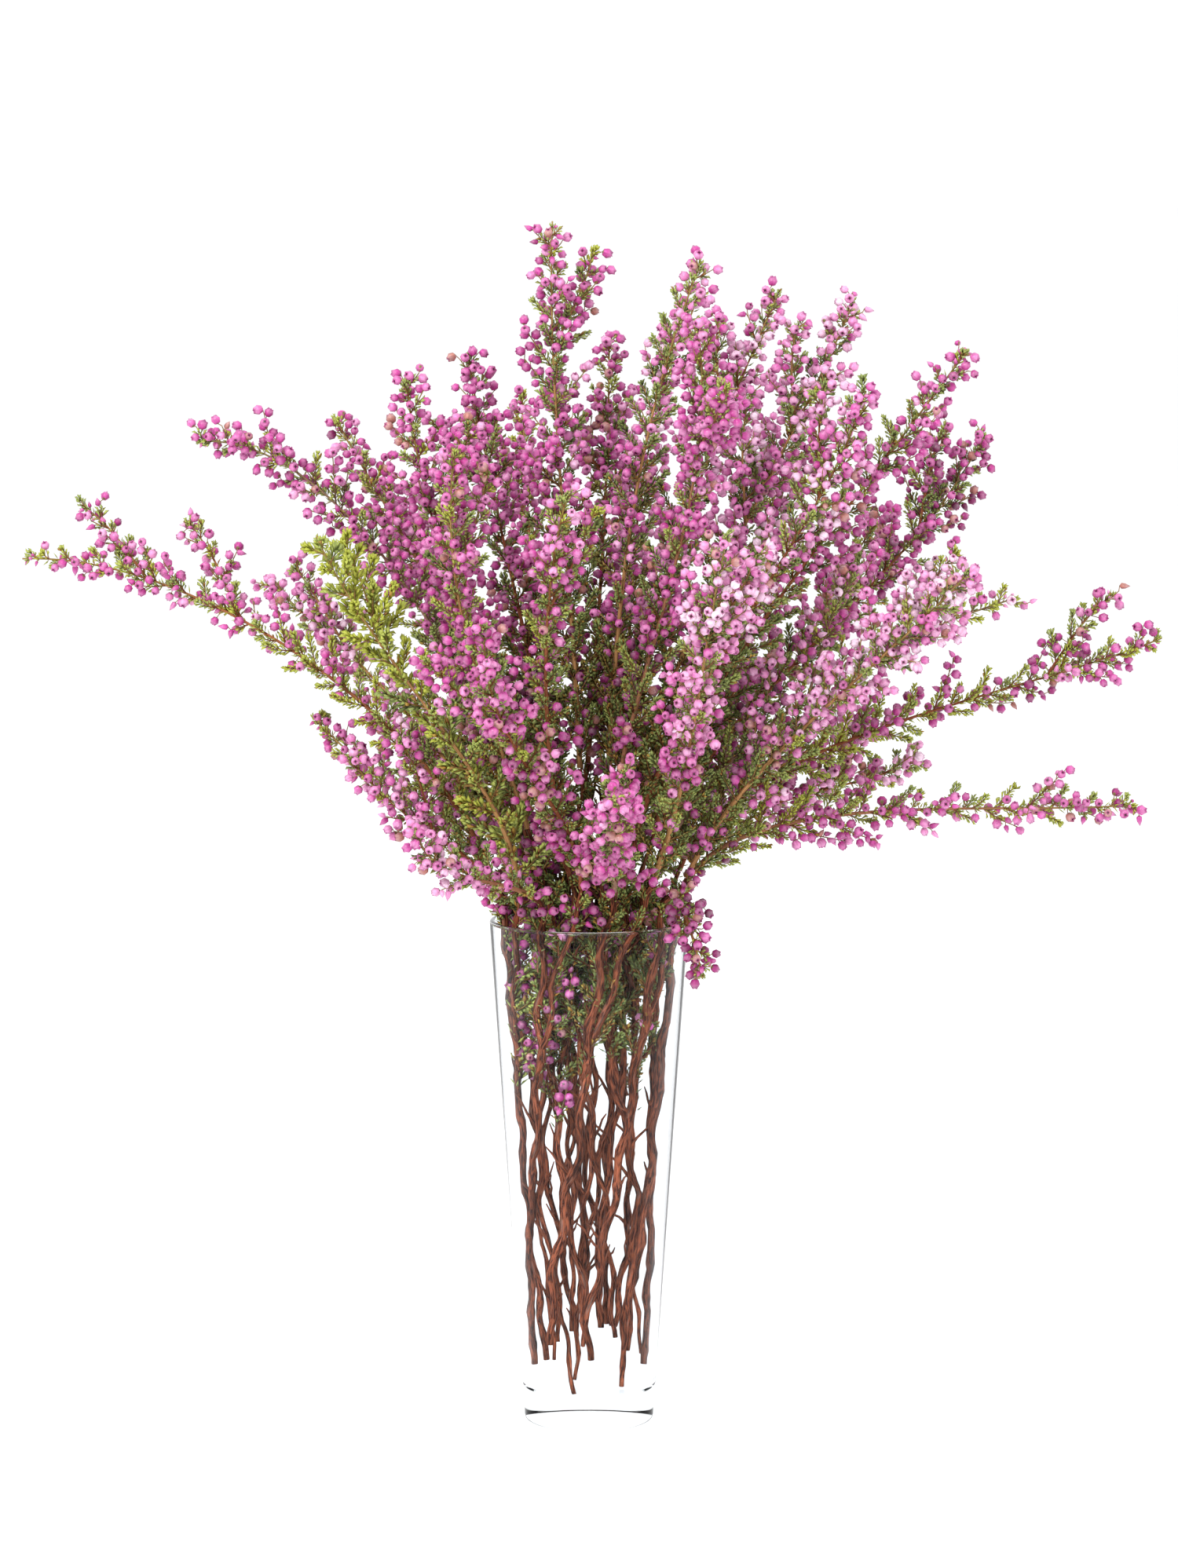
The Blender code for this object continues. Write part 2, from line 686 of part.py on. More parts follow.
def add_sprays(branches, stems, collection, draw):
    """Every spray with its side shoots, each kept to its own share of the space."""
    glass = tree_of(glass_points())
    for branch in branches:
        others = [other for other in branches if other is not branch]
        wood_points = [place for other in others for place in other.wood()]
        for stem in stems:
            if stem is not branch.stem:
                wood_points += [place for place, _ in samples(stem, LOWEST_NEAR_SPRAYS)]
        sprays, wood = tree_of(axis_points(others)), tree_of(wood_points)
        main = branch.spray()
        shoots = [place for shoot in branch.shoots for place in shoot]
        around = Surroundings(main, shoots, sprays, wood, glass)
        mesh = spray_mesh(branch.name, main, REACH, branch.tip.kind, around, draw)
        added = []
        for number, shoot in enumerate(branch.shoots):
            family = main + [p for other in branch.shoots if other is not shoot for p in other]
            around = Surroundings(shoot, family, sprays, wood, glass)
            added.append(
                spray_mesh(f"{branch.name}_{number}", shoot, SHOOT_REACH, branch.tip.kind, around, draw)
            )
        piece = add_object(branch.name, mesh, branch.tip.kind, collection)
        fuse(piece, added, "EXACT")


def main():
    """Clears the file and builds the vase, the stems and the sprays."""
    for old in list(bpy.data.objects):
        bpy.data.objects.remove(old)
    collection = bpy.data.collections.new("heather_in_glass_vase")
    bpy.context.scene.collection.children.link(collection)
    draw = random.Random(SEED)
    stems = make_stems(draw)
    stand_on_floor(stems)
    seat_stems(stems)
    branches = [branch for stem in stems for branch in stem.branches]
    for branch in branches:
        branch.fly()
    side_shoots(branches, draw)
    add_vase(collection)
    for stem in stems:
        add_stem(stem, collection)
    add_sprays(branches, stems, collection, draw)
    return stems, branches


if __name__ == "__main__":
    main()
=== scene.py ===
"""The looks of cut bell heather in a clear glass vase.

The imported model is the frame. Around it this script grows the fine shapes: barked stems, twigs with
needle leaves, globe-shaped bells on short stalks, and a turned glass vase, each in the place of the
solid that it stands for. The stems and sprays follow the same curves as the solids.
Lengths are metres, +Z is up, the origin is the middle of the vase's foot, and the front faces -Y.
"""

import functools
import math
import random
from collections import namedtuple

import bmesh
import bpy
import numpy as np
from bpy.props import FloatProperty, FloatVectorProperty, IntProperty, PointerProperty
from mathutils import Matrix, Vector
from mathutils.kdtree import KDTree


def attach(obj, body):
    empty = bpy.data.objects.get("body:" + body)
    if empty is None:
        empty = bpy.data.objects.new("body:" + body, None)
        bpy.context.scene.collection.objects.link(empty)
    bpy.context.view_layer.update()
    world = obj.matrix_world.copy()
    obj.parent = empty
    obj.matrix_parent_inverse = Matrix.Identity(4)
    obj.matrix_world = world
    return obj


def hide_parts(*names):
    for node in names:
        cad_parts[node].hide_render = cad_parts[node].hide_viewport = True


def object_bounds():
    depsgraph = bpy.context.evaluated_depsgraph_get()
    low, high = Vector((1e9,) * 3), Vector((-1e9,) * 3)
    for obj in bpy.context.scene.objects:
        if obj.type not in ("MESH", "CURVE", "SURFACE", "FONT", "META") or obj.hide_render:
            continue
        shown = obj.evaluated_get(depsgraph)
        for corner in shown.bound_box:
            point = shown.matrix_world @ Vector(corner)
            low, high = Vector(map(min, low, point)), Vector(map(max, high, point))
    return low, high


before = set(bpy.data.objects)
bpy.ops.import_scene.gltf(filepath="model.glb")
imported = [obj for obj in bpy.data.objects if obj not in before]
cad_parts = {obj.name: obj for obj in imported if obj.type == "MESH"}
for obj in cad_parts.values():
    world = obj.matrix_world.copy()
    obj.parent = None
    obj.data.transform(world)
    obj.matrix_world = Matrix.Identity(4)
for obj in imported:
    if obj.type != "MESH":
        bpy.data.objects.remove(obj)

bl_info = {
    "name": "Heather in a glass vase",
    "version": (1, 0, 0),
    "blender": (4, 5, 0),
    "location": "View3D > Sidebar > Heather",
    "description": "Cut bell heather in a clear glass vase, with its bells, leaves, wood and a studio",
    "category": "Add Mesh",
}

CAD_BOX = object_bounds()
BODY = "root"

# Glass vase
VASE_HEIGHT = 0.200
FOOT_RADIUS = 0.0255
RIM_RADIUS = 0.0392
WALL = 0.0026
BASE_THICKNESS = 0.012
FOOT_EDGE = 0.0025
INNER_EDGE = 0.004
RIM_EDGE = 0.0009
CAD_VASE_SIDES = 32
FOOT_HOLLOW = 0.0008
RIM_INSET = 0.0001

# Woody stems
GAP = 0.0003
JOINT_GAP = 0.00045
SAMPLE_STEP = 0.002
STEM_RADIUS = 0.0023
RIM_SHARE = 0.74
END_SHARE = 0.55
FORK_SHARE = 0.80
CUT_LOWEST, CUT_HIGHEST, CUT_TILT = 0.021, 0.044, 0.0005
FORK_LOWEST, FORK_HIGHEST = 0.128, 0.166
FORK_EASE = 1.2
FORK_ROOT = 0.004
STEM_STEP = 0.030
RADIAL_SWAY = 0.0006
LONG_WAVE, SHORT_WAVE = 0.105, 0.047
LONG_WAVE_SHARE, SHORT_WAVE_SHARE = 0.65, 0.35
LEAN_MOST, LEAN_ROUNDS = 0.016, 18
LEAN_HEIGHT_OUTER = 0.193
LEAN_SPREAD = 0.030
LEAN_LOWEST, LEAN_HIGHEST = 0.060, 0.150
LEANS_ON_GLASS_ABOVE = 0.100
SAME_LEVEL = 0.0015

# Sprays' axes
START_PULL, END_PULL, LEAST_PULL = 0.30, 0.34, 0.024
RIM_RUN = 0.004
BOW = 0.10
AXIS_STEP = 0.0025
AXIS_CURVE_STEPS, SHOOT_CURVE_STEPS = 60, 20
SHOOTS_FROM_TIP = (0.052, 0.088)
SHOOT_PLACE_RANGE = (0.9, 1.1)
LEAST_SHOOT_FOOT = 0.030
SHOOT_LENGTH, SHOOT_LONGER = 0.042, 0.008
SHOOT_ANGLE = math.radians(38)
SHOOT_BEND = 0.1
SHOOT_WAYS = 12
SHOOT_ROOT_POINTS = 3
HEIGHT_WORTH = 0.5

SEED = 11
GOLDEN_TURN = math.pi * (3 - math.sqrt(5))

Ring = namedtuple("Ring", "name first_angle turn foot_radius rim_radius sway wood_above stems")
Tip = namedtuple("Tip", "x y z lift kind shoots")

# Where each branch of a stem ends, anticlockwise from +X, and how far its end turns up or down.
# Two tips make a forked stem.
OUTER_TIPS = (
    (Tip(0.211, -0.010, 0.246, -0.35, "magenta", 0), Tip(0.229, 0.052, 0.306, 0.05, "magenta", 1)),
    (Tip(0.135, 0.100, 0.252, 0.2, "lilac", 1), Tip(0.122, 0.122, 0.350, 0.2, "magenta", 1)),
    (Tip(0.088, 0.128, 0.262, 0.1, "deep", 1), Tip(-0.028, 0.134, 0.400, 0.2, "magenta", 1)),
    (Tip(-0.070, 0.118, 0.254, 0.2, "magenta", 1), Tip(-0.130, 0.098, 0.324, 0.2, "lilac", 1)),
    (Tip(-0.109, 0.038, 0.275, 0.7, "magenta", 0), Tip(-0.2226, 0.020, 0.340, -0.45, "magenta", 2)),
    (Tip(-0.092, -0.028, 0.266, 0.3, "lilac", 1), Tip(-0.101, -0.072, 0.352, 0.1, "leafy", 1)),
    (Tip(-0.064, -0.090, 0.244, 0.3, "lilac", 0), Tip(-0.038, -0.128, 0.325, 0.2, "magenta", 1)),
    (Tip(0.012, -0.128, 0.262, 0.2, "magenta", 1), Tip(0.050, -0.130, 0.358, 0.2, "lilac", 1)),
    (Tip(0.043, -0.055, 0.187, -2.0, "deep", 0), Tip(0.142, -0.078, 0.342, 0.2, "lilac", 1)),
)
MIDDLE_TIPS = (
    (Tip(0.166, 0.010, 0.325, -0.6, "lilac", 2), Tip(0.158, 0.070, 0.385, 0.3, "deep", 1)),
    (Tip(0.088, 0.108, 0.392, 0.2, "magenta", 1),),
    (Tip(0.032, 0.112, 0.402, 0.2, "lilac", 1), Tip(-0.084, 0.088, 0.366, 0.2, "magenta", 1)),
    (Tip(-0.101, 0.056, 0.393, 0.8, "magenta", 0),),
    (Tip(-0.150, 0.000, 0.387, -1.0, "magenta", 0), Tip(-0.069, -0.036, 0.411, 0.2, "magenta", 1)),
    (Tip(-0.050, -0.088, 0.386, 0.2, "magenta", 1),),
    (Tip(-0.008, -0.106, 0.372, 0.2, "leafy", 1), Tip(0.040, -0.080, 0.434, 0.2, "magenta", 1)),
    (Tip(0.102, -0.080, 0.410, 0.2, "lilac", 1), Tip(0.143, -0.035, 0.422, 0.3, "magenta", 0)),
)
INNER_TIPS = (
    (Tip(0.102, 0.010, 0.439, 0.2, "lilac", 2),),
    (Tip(0.075, 0.052, 0.443, 0.2, "lilac", 1),),
    (Tip(0.008, 0.050, 0.424, 0.2, "magenta", 1), Tip(-0.047, 0.014, 0.419, 0.2, "magenta", 1)),
    (Tip(-0.014, -0.020, 0.472, 0.2, "magenta", 1),),
    (Tip(0.042, -0.036, 0.455, 0.2, "leafy", 1),),
)
RINGS = (
    Ring("outer", 0.0, math.radians(75), 0.0202, 0.0330, 0.0022, 0.018, OUTER_TIPS),
    Ring("middle", math.radians(10), math.radians(-100), 0.0130, 0.0208, 0.0009, 0.040, MIDDLE_TIPS),
    Ring("inner", 0.0, math.radians(60), 0.0062, 0.0092, 0.0005, 0.060, INNER_TIPS),
)

# The map on a spray: each finish has a band of it, and each tint of a finish a cell of that band.
MAP_NAME = "OFBake"
CELL_MARGIN = 0.10
Band = namedtuple("Band", "low high cells")
BANDS = {
    "bell": Band(0.01, 0.47, 16),
    "leaf": Band(0.51, 0.71, 16),
    "twig": Band(0.75, 0.99, 8),
}
FINISH_ORDER = ("bell", "leaf", "twig")

# The middle tint of each kind of spray's bells, with how far they stray: 0 is whitish, 15 withered
BELL_TINTS = {
    "lilac": (4.8, 1.2),
    "magenta": (7.9, 1.2),
    "deep": (10.6, 1.2),
    "leafy": (6.5, 1.2),
}
WITHERED_CELL, WITHERED_SHARE = 15, 0.03

# Linear colours of the tints across each band, from cell 0 to the last. The darkest bell and leaf stops are
# partly the heather's own deep colour and partly painted shade for what grows deep in the bunch.
BELL_COLOURS = (
    (0.0, (0.78, 0.57, 0.69)),
    (0.22, (0.68, 0.28, 0.50)),
    (0.45, (0.55, 0.080, 0.33)),
    (0.65, (0.38, 0.030, 0.20)),
    (0.88, (0.12, 0.008, 0.050)),
    (0.94, (0.42, 0.17, 0.14)),
)
LEAF_COLOURS = (
    (0.0, (0.42, 0.44, 0.060)),
    (0.25, (0.34, 0.39, 0.110)),
    (0.50, (0.21, 0.26, 0.090)),
    (0.78, (0.026, 0.034, 0.014)),
    (0.86, (0.36, 0.17, 0.030)),
    (0.94, (0.24, 0.08, 0.030)),
)
TWIG_COLOURS = (
    (0.0, (0.24, 0.075, 0.035)),
    (0.35, (0.38, 0.150, 0.065)),
    (0.60, (0.30, 0.185, 0.135)),
    (0.85, (0.42, 0.220, 0.090)),
)


class VaseLooks(bpy.types.PropertyGroup):
    """The glass."""

    sides: IntProperty(name="Sides", description="Facets round the vase", default=96, min=24)
    edge_steps: IntProperty(name="Edge steps", description="Facets round each edge", default=6, min=2)
    glass: FloatVectorProperty(
        name="Glass", description="Tint of the glass", subtype="COLOR", size=3, default=(0.95, 0.975, 0.99)
    )
    shade: FloatVectorProperty(
        name="Shade", description="Light that the glass lets through", subtype="COLOR", size=3,
        default=(0.97, 0.98, 0.985),
    )
    roughness: FloatProperty(name="Roughness", description="Polish of the glass", default=0.01, min=0)
    bending: FloatProperty(name="Bending", description="How much the thin wall bends light", default=1.15)
    rim_bending: FloatProperty(name="Rim bending", description="How much the rim bends light", default=1.45)


class WoodLooks(bpy.types.PropertyGroup):
    """The stems' bark."""

    sides: IntProperty(name="Sides", description="Facets round a stem", default=12, min=6)
    step: FloatProperty(name="Step", description="Length of a facet", default=0.0027, unit="LENGTH")
    ridge: FloatProperty(name="Ridges", description="Depth of the ridges, a share of the radius", default=0.15)
    knot: FloatProperty(name="Knots", description="Height of the knots, a share of the radius", default=0.32)
    knot_gap: FloatProperty(name="Knot gap", description="Way between knots", default=0.017, unit="LENGTH")
    wander: FloatProperty(name="Wander", description="Small bends of a stem", default=0.0012, unit="LENGTH")
    bark: FloatVectorProperty(
        name="Bark", description="Red-brown bark", subtype="COLOR", size=3, default=(0.215, 0.060, 0.028)
    )
    # The grooves' dark colour is partly the bark's own and partly painted shade.
    dark_bark: FloatVectorProperty(
        name="Dark bark", description="Grooves in the bark", subtype="COLOR", size=3,
        default=(0.030, 0.010, 0.007),
    )
    grey_bark: FloatVectorProperty(
        name="Grey bark", description="Weathered flakes", subtype="COLOR", size=3, default=(0.27, 0.165, 0.13)
    )
    cut: FloatVectorProperty(
        name="Cut wood", description="Wood at the cut ends", subtype="COLOR", size=3, default=(0.42, 0.25, 0.13)
    )


class BellLooks(bpy.types.PropertyGroup):
    """The flowers."""

    length: FloatProperty(name="Length", description="From stalk to mouth", default=0.0042, unit="LENGTH")
    width: FloatProperty(name="Width", description="Across the belly", default=0.0040, unit="LENGTH")
    sides: IntProperty(name="Sides", description="Facets round a bell", default=8, min=6)
    apart: FloatProperty(name="Apart", description="Least way between bells", default=0.0036, unit="LENGTH")
    stalk: FloatProperty(name="Stalk", description="Radius of a bell's stalk", default=0.00022, unit="LENGTH")
    zone: FloatProperty(name="Zone", description="Flowering length of a spray", default=0.112, unit="LENGTH")
    row: FloatProperty(name="Row", description="Way between bells on a twig", default=0.0030, unit="LENGTH")
    calyx: FloatVectorProperty(
        name="Calyx", description="Where the bell meets its stalk", subtype="COLOR", size=3,
        default=(0.17, 0.13, 0.045),
    )
    # Painted shade: this dark colour inside the mouth stands for the hollow's shadow.
    mouth: FloatVectorProperty(
        name="Mouth", description="Inside of the mouth", subtype="COLOR", size=3, default=(0.085, 0.004, 0.030)
    )


class LeafLooks(bpy.types.PropertyGroup):
    """The needle leaves, and the short ones that crowd into tufts on side twigs."""

    length: FloatProperty(name="Length", description="Length of a needle", default=0.0034, unit="LENGTH")
    width: FloatProperty(name="Width", description="Width of a needle", default=0.00080, unit="LENGTH")
    bend: FloatProperty(name="Bend", description="How far its tip bends in", default=0.0006, unit="LENGTH")
    row: FloatProperty(name="Row", description="Way between whorls", default=0.0030, unit="LENGTH")
    short: FloatProperty(name="Short", description="Length of a tuft's leaf", default=0.0029, unit="LENGTH")
    short_width: FloatProperty(
        name="Short width", description="Width of a tuft's leaf", default=0.00100, unit="LENGTH"
    )
    short_row: FloatProperty(
        name="Short row", description="Way between a tuft's whorls", default=0.00145, unit="LENGTH"
    )


class StageLooks(bpy.types.PropertyGroup):
    """The studio and the camera."""

    floor: FloatVectorProperty(
        name="Floor", description="Pale floor", subtype="COLOR", size=3, default=(0.92, 0.92, 0.93)
    )
    sky: FloatProperty(name="Surround", description="Strength of the white surround", default=1.1)
    key: FloatProperty(name="Key light", description="Power of the front light in watts", default=40.0)
    fill: FloatProperty(name="Fill light", description="Power of the side light in watts", default=9.0)
    distance: FloatProperty(name="Distance", description="Camera to the vase", default=2.0, unit="LENGTH")
    height: FloatProperty(name="Height", description="Height of the camera", default=0.480, unit="LENGTH")
    pitch: FloatProperty(
        name="Pitch", description="How far the camera looks down", default=math.radians(6.47), subtype="ANGLE"
    )
    lens: FloatProperty(name="Lens", description="Focal length in millimetres", default=118.2)


def ease(share):
    """0 up to 1 as share goes from 0 to 1, and flat outside."""
    return min(max(share, 0.0), 1.0) ** FORK_EASE


def vase_radius(z):
    """The vase's outer radius at one height: a straight taper."""
    return FOOT_RADIUS + (RIM_RADIUS - FOOT_RADIUS) * z / VASE_HEIGHT


def running_lengths(points):
    """How far along a polyline each of its points is."""
    lengths = [0.0]
    for first, second in zip(points, points[1:]):
        lengths.append(lengths[-1] + (second - first).length)
    return lengths


def point_at(points, lengths, distance):
    """The point a distance along a polyline whose running lengths are known."""
    for i in range(1, len(points)):
        if lengths[i] >= distance or i == len(points) - 1:
            part = (distance - lengths[i - 1]) / max(lengths[i] - lengths[i - 1], 1e-9)
            return points[i - 1].lerp(points[i], min(max(part, 0.0), 1.0))
    return points[-1]


def spread_out(points, step):
    """Even points along a polyline, step apart or a little less."""
    lengths = running_lengths(points)
    count = max(1, math.ceil(lengths[-1] / step - 1e-6))
    return [point_at(points, lengths, lengths[-1] * i / count) for i in range(count + 1)]


def stretch(points, start, end=math.inf):
    """The part of a polyline from one distance along it to another, or to its end."""
    lengths = running_lengths(points)
    end = min(end, lengths[-1])
    inside = [p for p, at in zip(points, lengths) if start + 1e-5 < at < end - 1e-5]
    return [point_at(points, lengths, start)] + inside + [point_at(points, lengths, end)]


def bezier(start, start_pull, end_pull, end, count):
    """Points on the cubic curve between two ends, each pulled by its own handle."""
    places = []
    for i in range(count + 1):
        t = i / count
        places.append(
            start * (1 - t) ** 3
            + (start + start_pull) * 3 * t * (1 - t) ** 2
            + (end + end_pull) * 3 * t**2 * (1 - t)
            + end * t**3
        )
    return places


class Stem:
    """One cut branch: its way up through the vase, and where it forks."""

    def __init__(self, ring, number, angle, draw):
        self.ring, self.number, self.angle = ring, number, angle
        self.name = f"stem_{ring.name}_{number}"
        self.cut = draw.uniform(CUT_LOWEST, CUT_HIGHEST)
        self.fork = draw.uniform(FORK_LOWEST, FORK_HIGHEST)
        self.long_phase = draw.uniform(0, 2 * math.pi)
        self.short_phase = draw.uniform(0, 2 * math.pi)
        self.lean, self.lean_height, self.lean_way = 0.0, 0.0, Vector((0, 0, 0))
        self.branches = []

    def point(self, z, aside=0.0):
        """The middle of the wood at height z. aside is the angle by which a branch has left at the rim."""
        ring, share = self.ring, z / VASE_HEIGHT
        radius = ring.foot_radius + (ring.rim_radius - ring.foot_radius) * share
        radius += RADIAL_SWAY * math.sin(2 * math.pi * z / LONG_WAVE + self.short_phase)
        sway = LONG_WAVE_SHARE * math.sin(2 * math.pi * z / LONG_WAVE + self.long_phase)
        sway += SHORT_WAVE_SHARE * math.sin(2 * math.pi * z / SHORT_WAVE + self.short_phase)
        angle = self.angle - ring.turn * (1 - share) + ring.sway * sway / radius
        angle += aside * ease((z - self.fork) / (VASE_HEIGHT - self.fork))
        place = Vector((radius * math.cos(angle), radius * math.sin(angle), z))
        return place + self.lean_way * self.lean * math.exp(-(((z - self.lean_height) / LEAN_SPREAD) ** 2))

    def radius(self, z):
        """The wood's radius at height z."""
        return STEM_RADIUS * (1 - (1 - RIM_SHARE) * z / VASE_HEIGHT)


class Branch:
    """What leaves the rim on one axis: a length of bare wood and then a spray."""

    def __init__(self, name, stem, aside, tip, draw):
        self.name, self.stem, self.aside, self.tip = name, stem, aside, tip
        self.bow = Vector([draw.uniform(-BOW, BOW) for _ in range(3)])
        self.shoots = []

    def fly(self):
        """Works out the axis above the rim, a curve from the stem's own direction to the tip."""
        start = self.stem.point(VASE_HEIGHT, self.aside)
        below = self.stem.point(VASE_HEIGHT - RIM_RUN, self.aside)
        end = Vector((self.tip.x, self.tip.y, self.tip.z))
        span = (end - start).length
        way = (end - start).normalized()
        start_pull = (start - below).normalized() * max(START_PULL * span, LEAST_PULL)
        end_pull = -(way + Vector((0, 0, self.tip.lift))).normalized() * max(END_PULL * span, LEAST_PULL)
        end_pull += self.bow * span
        self.axis = spread_out(bezier(start, start_pull, end_pull, end, AXIS_CURVE_STEPS), AXIS_STEP)

    def inside(self, step=STEM_STEP):
        """Points up the wood to the rim: from the cut end, or from just below the fork."""
        start = self.stem.cut if self is self.stem.branches[0] else self.stem.fork - FORK_ROOT
        count = math.ceil((VASE_HEIGHT - start) / step)
        rise = (VASE_HEIGHT - start) / count
        return [self.stem.point(start + rise * i, self.aside) for i in range(count + 1)]

    def wood(self):
        """The bare wood above the rim."""
        return stretch(self.axis, 0.0, self.stem.ring.wood_above)

    def spray(self):
        """The spray's axis, from a gap above the wood."""
        return stretch(self.axis, self.stem.ring.wood_above + JOINT_GAP)


def make_stems(draw):
    """All the stems with their branches, ring by ring."""
    stems = []
    for ring in RINGS:
        slots = sum(len(tips) for tips in ring.stems)
        slot = 2 * math.pi / slots
        used = 0
        for number, tips in enumerate(ring.stems, start=1):
            middle = ring.first_angle + slot * (used + (len(tips) - 1) / 2)
            stem = Stem(ring, number, middle, draw)
            for place, tip in enumerate(tips):
                word = ("", "") if len(tips) == 1 else ("_low", "_high")
                name = f"{ring.name}_{number}{word[place]}"
                aside = slot * (place - (len(tips) - 1) / 2)
                stem.branches.append(Branch(name, stem, aside, tip, draw))
            used += len(tips)
            stems.append(stem)
    return stems


def stand_on_floor(stems):
    """Lets every third stem of the middle ring stand on the vase's floor."""
    middle = [stem for stem in stems if stem.ring.name == "middle"]
    for stem in middle[::3]:
        stem.cut = BASE_THICKNESS + GAP + CUT_TILT


def samples(stem, low=0.0, high=VASE_HEIGHT):
    """Points with their radius all along a stem's wood inside the vase, both branches included."""
    found = []
    for branch in stem.branches:
        for place in spread_out(branch.inside(), SAMPLE_STEP):
            if low <= place.z <= high:
                found.append((*place, stem.radius(place.z)))
    return np.array(found)


def clearance(stem, others):
    """The least distance between a stem's wood and other wood."""
    own = samples(stem)
    apart = np.linalg.norm(own[:, None, :3] - others[None, :, :3], axis=2)
    return (apart - own[:, None, 3] - others[None, :, 3]).min()


def lean_until(stem, gap_left):
    """Leans a stem by the amount at which gap_left() comes down to the standing gap."""
    low, high = 0.0, LEAN_MOST
    for _ in range(LEAN_ROUNDS):
        stem.lean = (low + high) / 2
        low, high = (stem.lean, high) if gap_left() > GAP else (low, stem.lean)
    stem.lean = low


def seat_stems(stems):
    """Leans each outer stem on the rim, and each other stem on the ring around it."""
    outer, middle, inner = (
        [stem for stem in stems if stem.ring.name == ring.name] for ring in RINGS
    )
    flat = math.cos(math.pi / CAD_VASE_SIDES)
    for stem in outer:
        radial = stem.point(LEAN_HEIGHT_OUTER)
        stem.lean_way = Vector((radial.x, radial.y, 0)).normalized()
        stem.lean_height = LEAN_HEIGHT_OUTER

        def to_glass(stem=stem):
            x, y, z, radius = samples(stem, LEANS_ON_GLASS_ABOVE, VASE_HEIGHT - RIM_EDGE).T
            return ((vase_radius(z) - WALL) * flat - np.hypot(x, y) - radius).min()

        lean_until(stem, to_glass)
    for ring, around in ((middle, outer), (inner, middle)):
        wood = np.concatenate([samples(stem) for stem in around])
        for stem in ring:
            own = samples(stem, LEAN_LOWEST, LEAN_HIGHEST)
            apart = np.linalg.norm(own[:, None, :3] - wood[None, :, :3], axis=2)
            apart[abs(own[:, None, 2] - wood[None, :, 2]) >= SAME_LEVEL] = math.inf
            mine, other = np.unravel_index(apart.argmin(), apart.shape)
            way = wood[other, :2] - own[mine, :2]
            stem.lean_way = Vector((*way, 0)).normalized()
            stem.lean_height = own[mine, 2]
            lean_until(stem, lambda stem=stem, wood=wood: clearance(stem, wood))


def tree_of(points):
    """A search tree over points."""
    points = list(points)
    tree = KDTree(len(points))
    for i, point in enumerate(points):
        tree.insert(point, i)
    tree.balance()
    return tree


def room_along(axis, others):
    """The least distance from an axis, past its root, to the other axes."""
    return min(others.find(place)[2] for place in axis[SHOOT_ROOT_POINTS:])


def side_shoots(branches, draw):
    """Gives each branch its side shoots, each turned to where it has the most room."""
    axes = {branch.name: branch.axis for branch in branches}
    for branch in branches:
        others = tree_of(p for name, axis in axes.items() if name != branch.name for p in axis)
        spray = branch.spray()
        length = running_lengths(spray)[-1]
        for number in range(branch.tip.shoots):
            from_tip = SHOOTS_FROM_TIP[number] * draw.uniform(*SHOOT_PLACE_RANGE)
            root, ahead = stretch(spray, max(length - from_tip, LEAST_SHOOT_FOOT))[:2]
            way = (ahead - root).normalized()
            reach = SHOOT_LENGTH + SHOOT_LONGER * number
            turns = [2 * math.pi * i / SHOOT_WAYS for i in range(SHOOT_WAYS)]
            best = max(
                (shoot_axis(root, way, reach, turn) for turn in turns),
                key=lambda axis: room_along(axis, others) + HEIGHT_WORTH * axis[-1].z,
            )
            branch.shoots.append(best)
            axes[f"{branch.name} {number}"] = best


def shoot_axis(root, way, length, turn):
    """A side shoot's axis: it leaves at an angle and bends back along its parent."""
    aside = way.orthogonal().normalized()
    aside.rotate(Matrix.Rotation(turn, 3, way))
    leave = way * math.cos(SHOOT_ANGLE) + aside * math.sin(SHOOT_ANGLE)
    end = root + leave.lerp(way, SHOOT_BEND).normalized() * length
    pull = length / 3
    curve = bezier(root, leave * pull, -(leave + way).normalized() * pull, end, SHOOT_CURVE_STEPS)
    return spread_out(curve, AXIS_STEP)


@functools.cache
def bunch():
    """The stems and their branches, seated in the vase as the solids are."""
    draw = random.Random(SEED)
    stems = make_stems(draw)
    stand_on_floor(stems)
    seat_stems(stems)
    branches = [branch for stem in stems for branch in stem.branches]
    for branch in branches:
        branch.fly()
    side_shoots(branches, draw)
    return stems, branches


Form = namedtuple("Form", "points corners places")
Stamp = namedtuple("Stamp", "place way roll size cell")


def turned(profile, sides):
    """A small turned form along +Z. Each step of the profile is (radius, height, share along)."""
    points, corners, places, rings = [], [], [], []
    for radius, height, along in profile:
        start = len(points)
        if radius == 0:
            points.append((0, 0, height))
            rings.append(([start] * sides, along))
            continue
        for side in range(sides):
            angle = 2 * math.pi * side / sides
            points.append((radius * math.cos(angle), radius * math.sin(angle), height))
        rings.append((range(start, start + sides), along))
    for (low, v_low), (high, v_high) in zip(rings, rings[1:]):
        for side in range(sides):
            after = (side + 1) % sides
            u, u_after = side / sides, (side + 1) / sides
            if low[side] != low[after]:
                corners.append((low[side], low[after], high[after]))
                places.append(((u, v_low), (u_after, v_low), (u_after, v_high)))
            if high[side] != high[after]:
                corners.append((low[side], high[after], high[side]))
                places.append(((u, v_low), (u_after, v_high), (u, v_high)))
    return Form(np.array(points, float), np.array(corners), np.array(places, float))


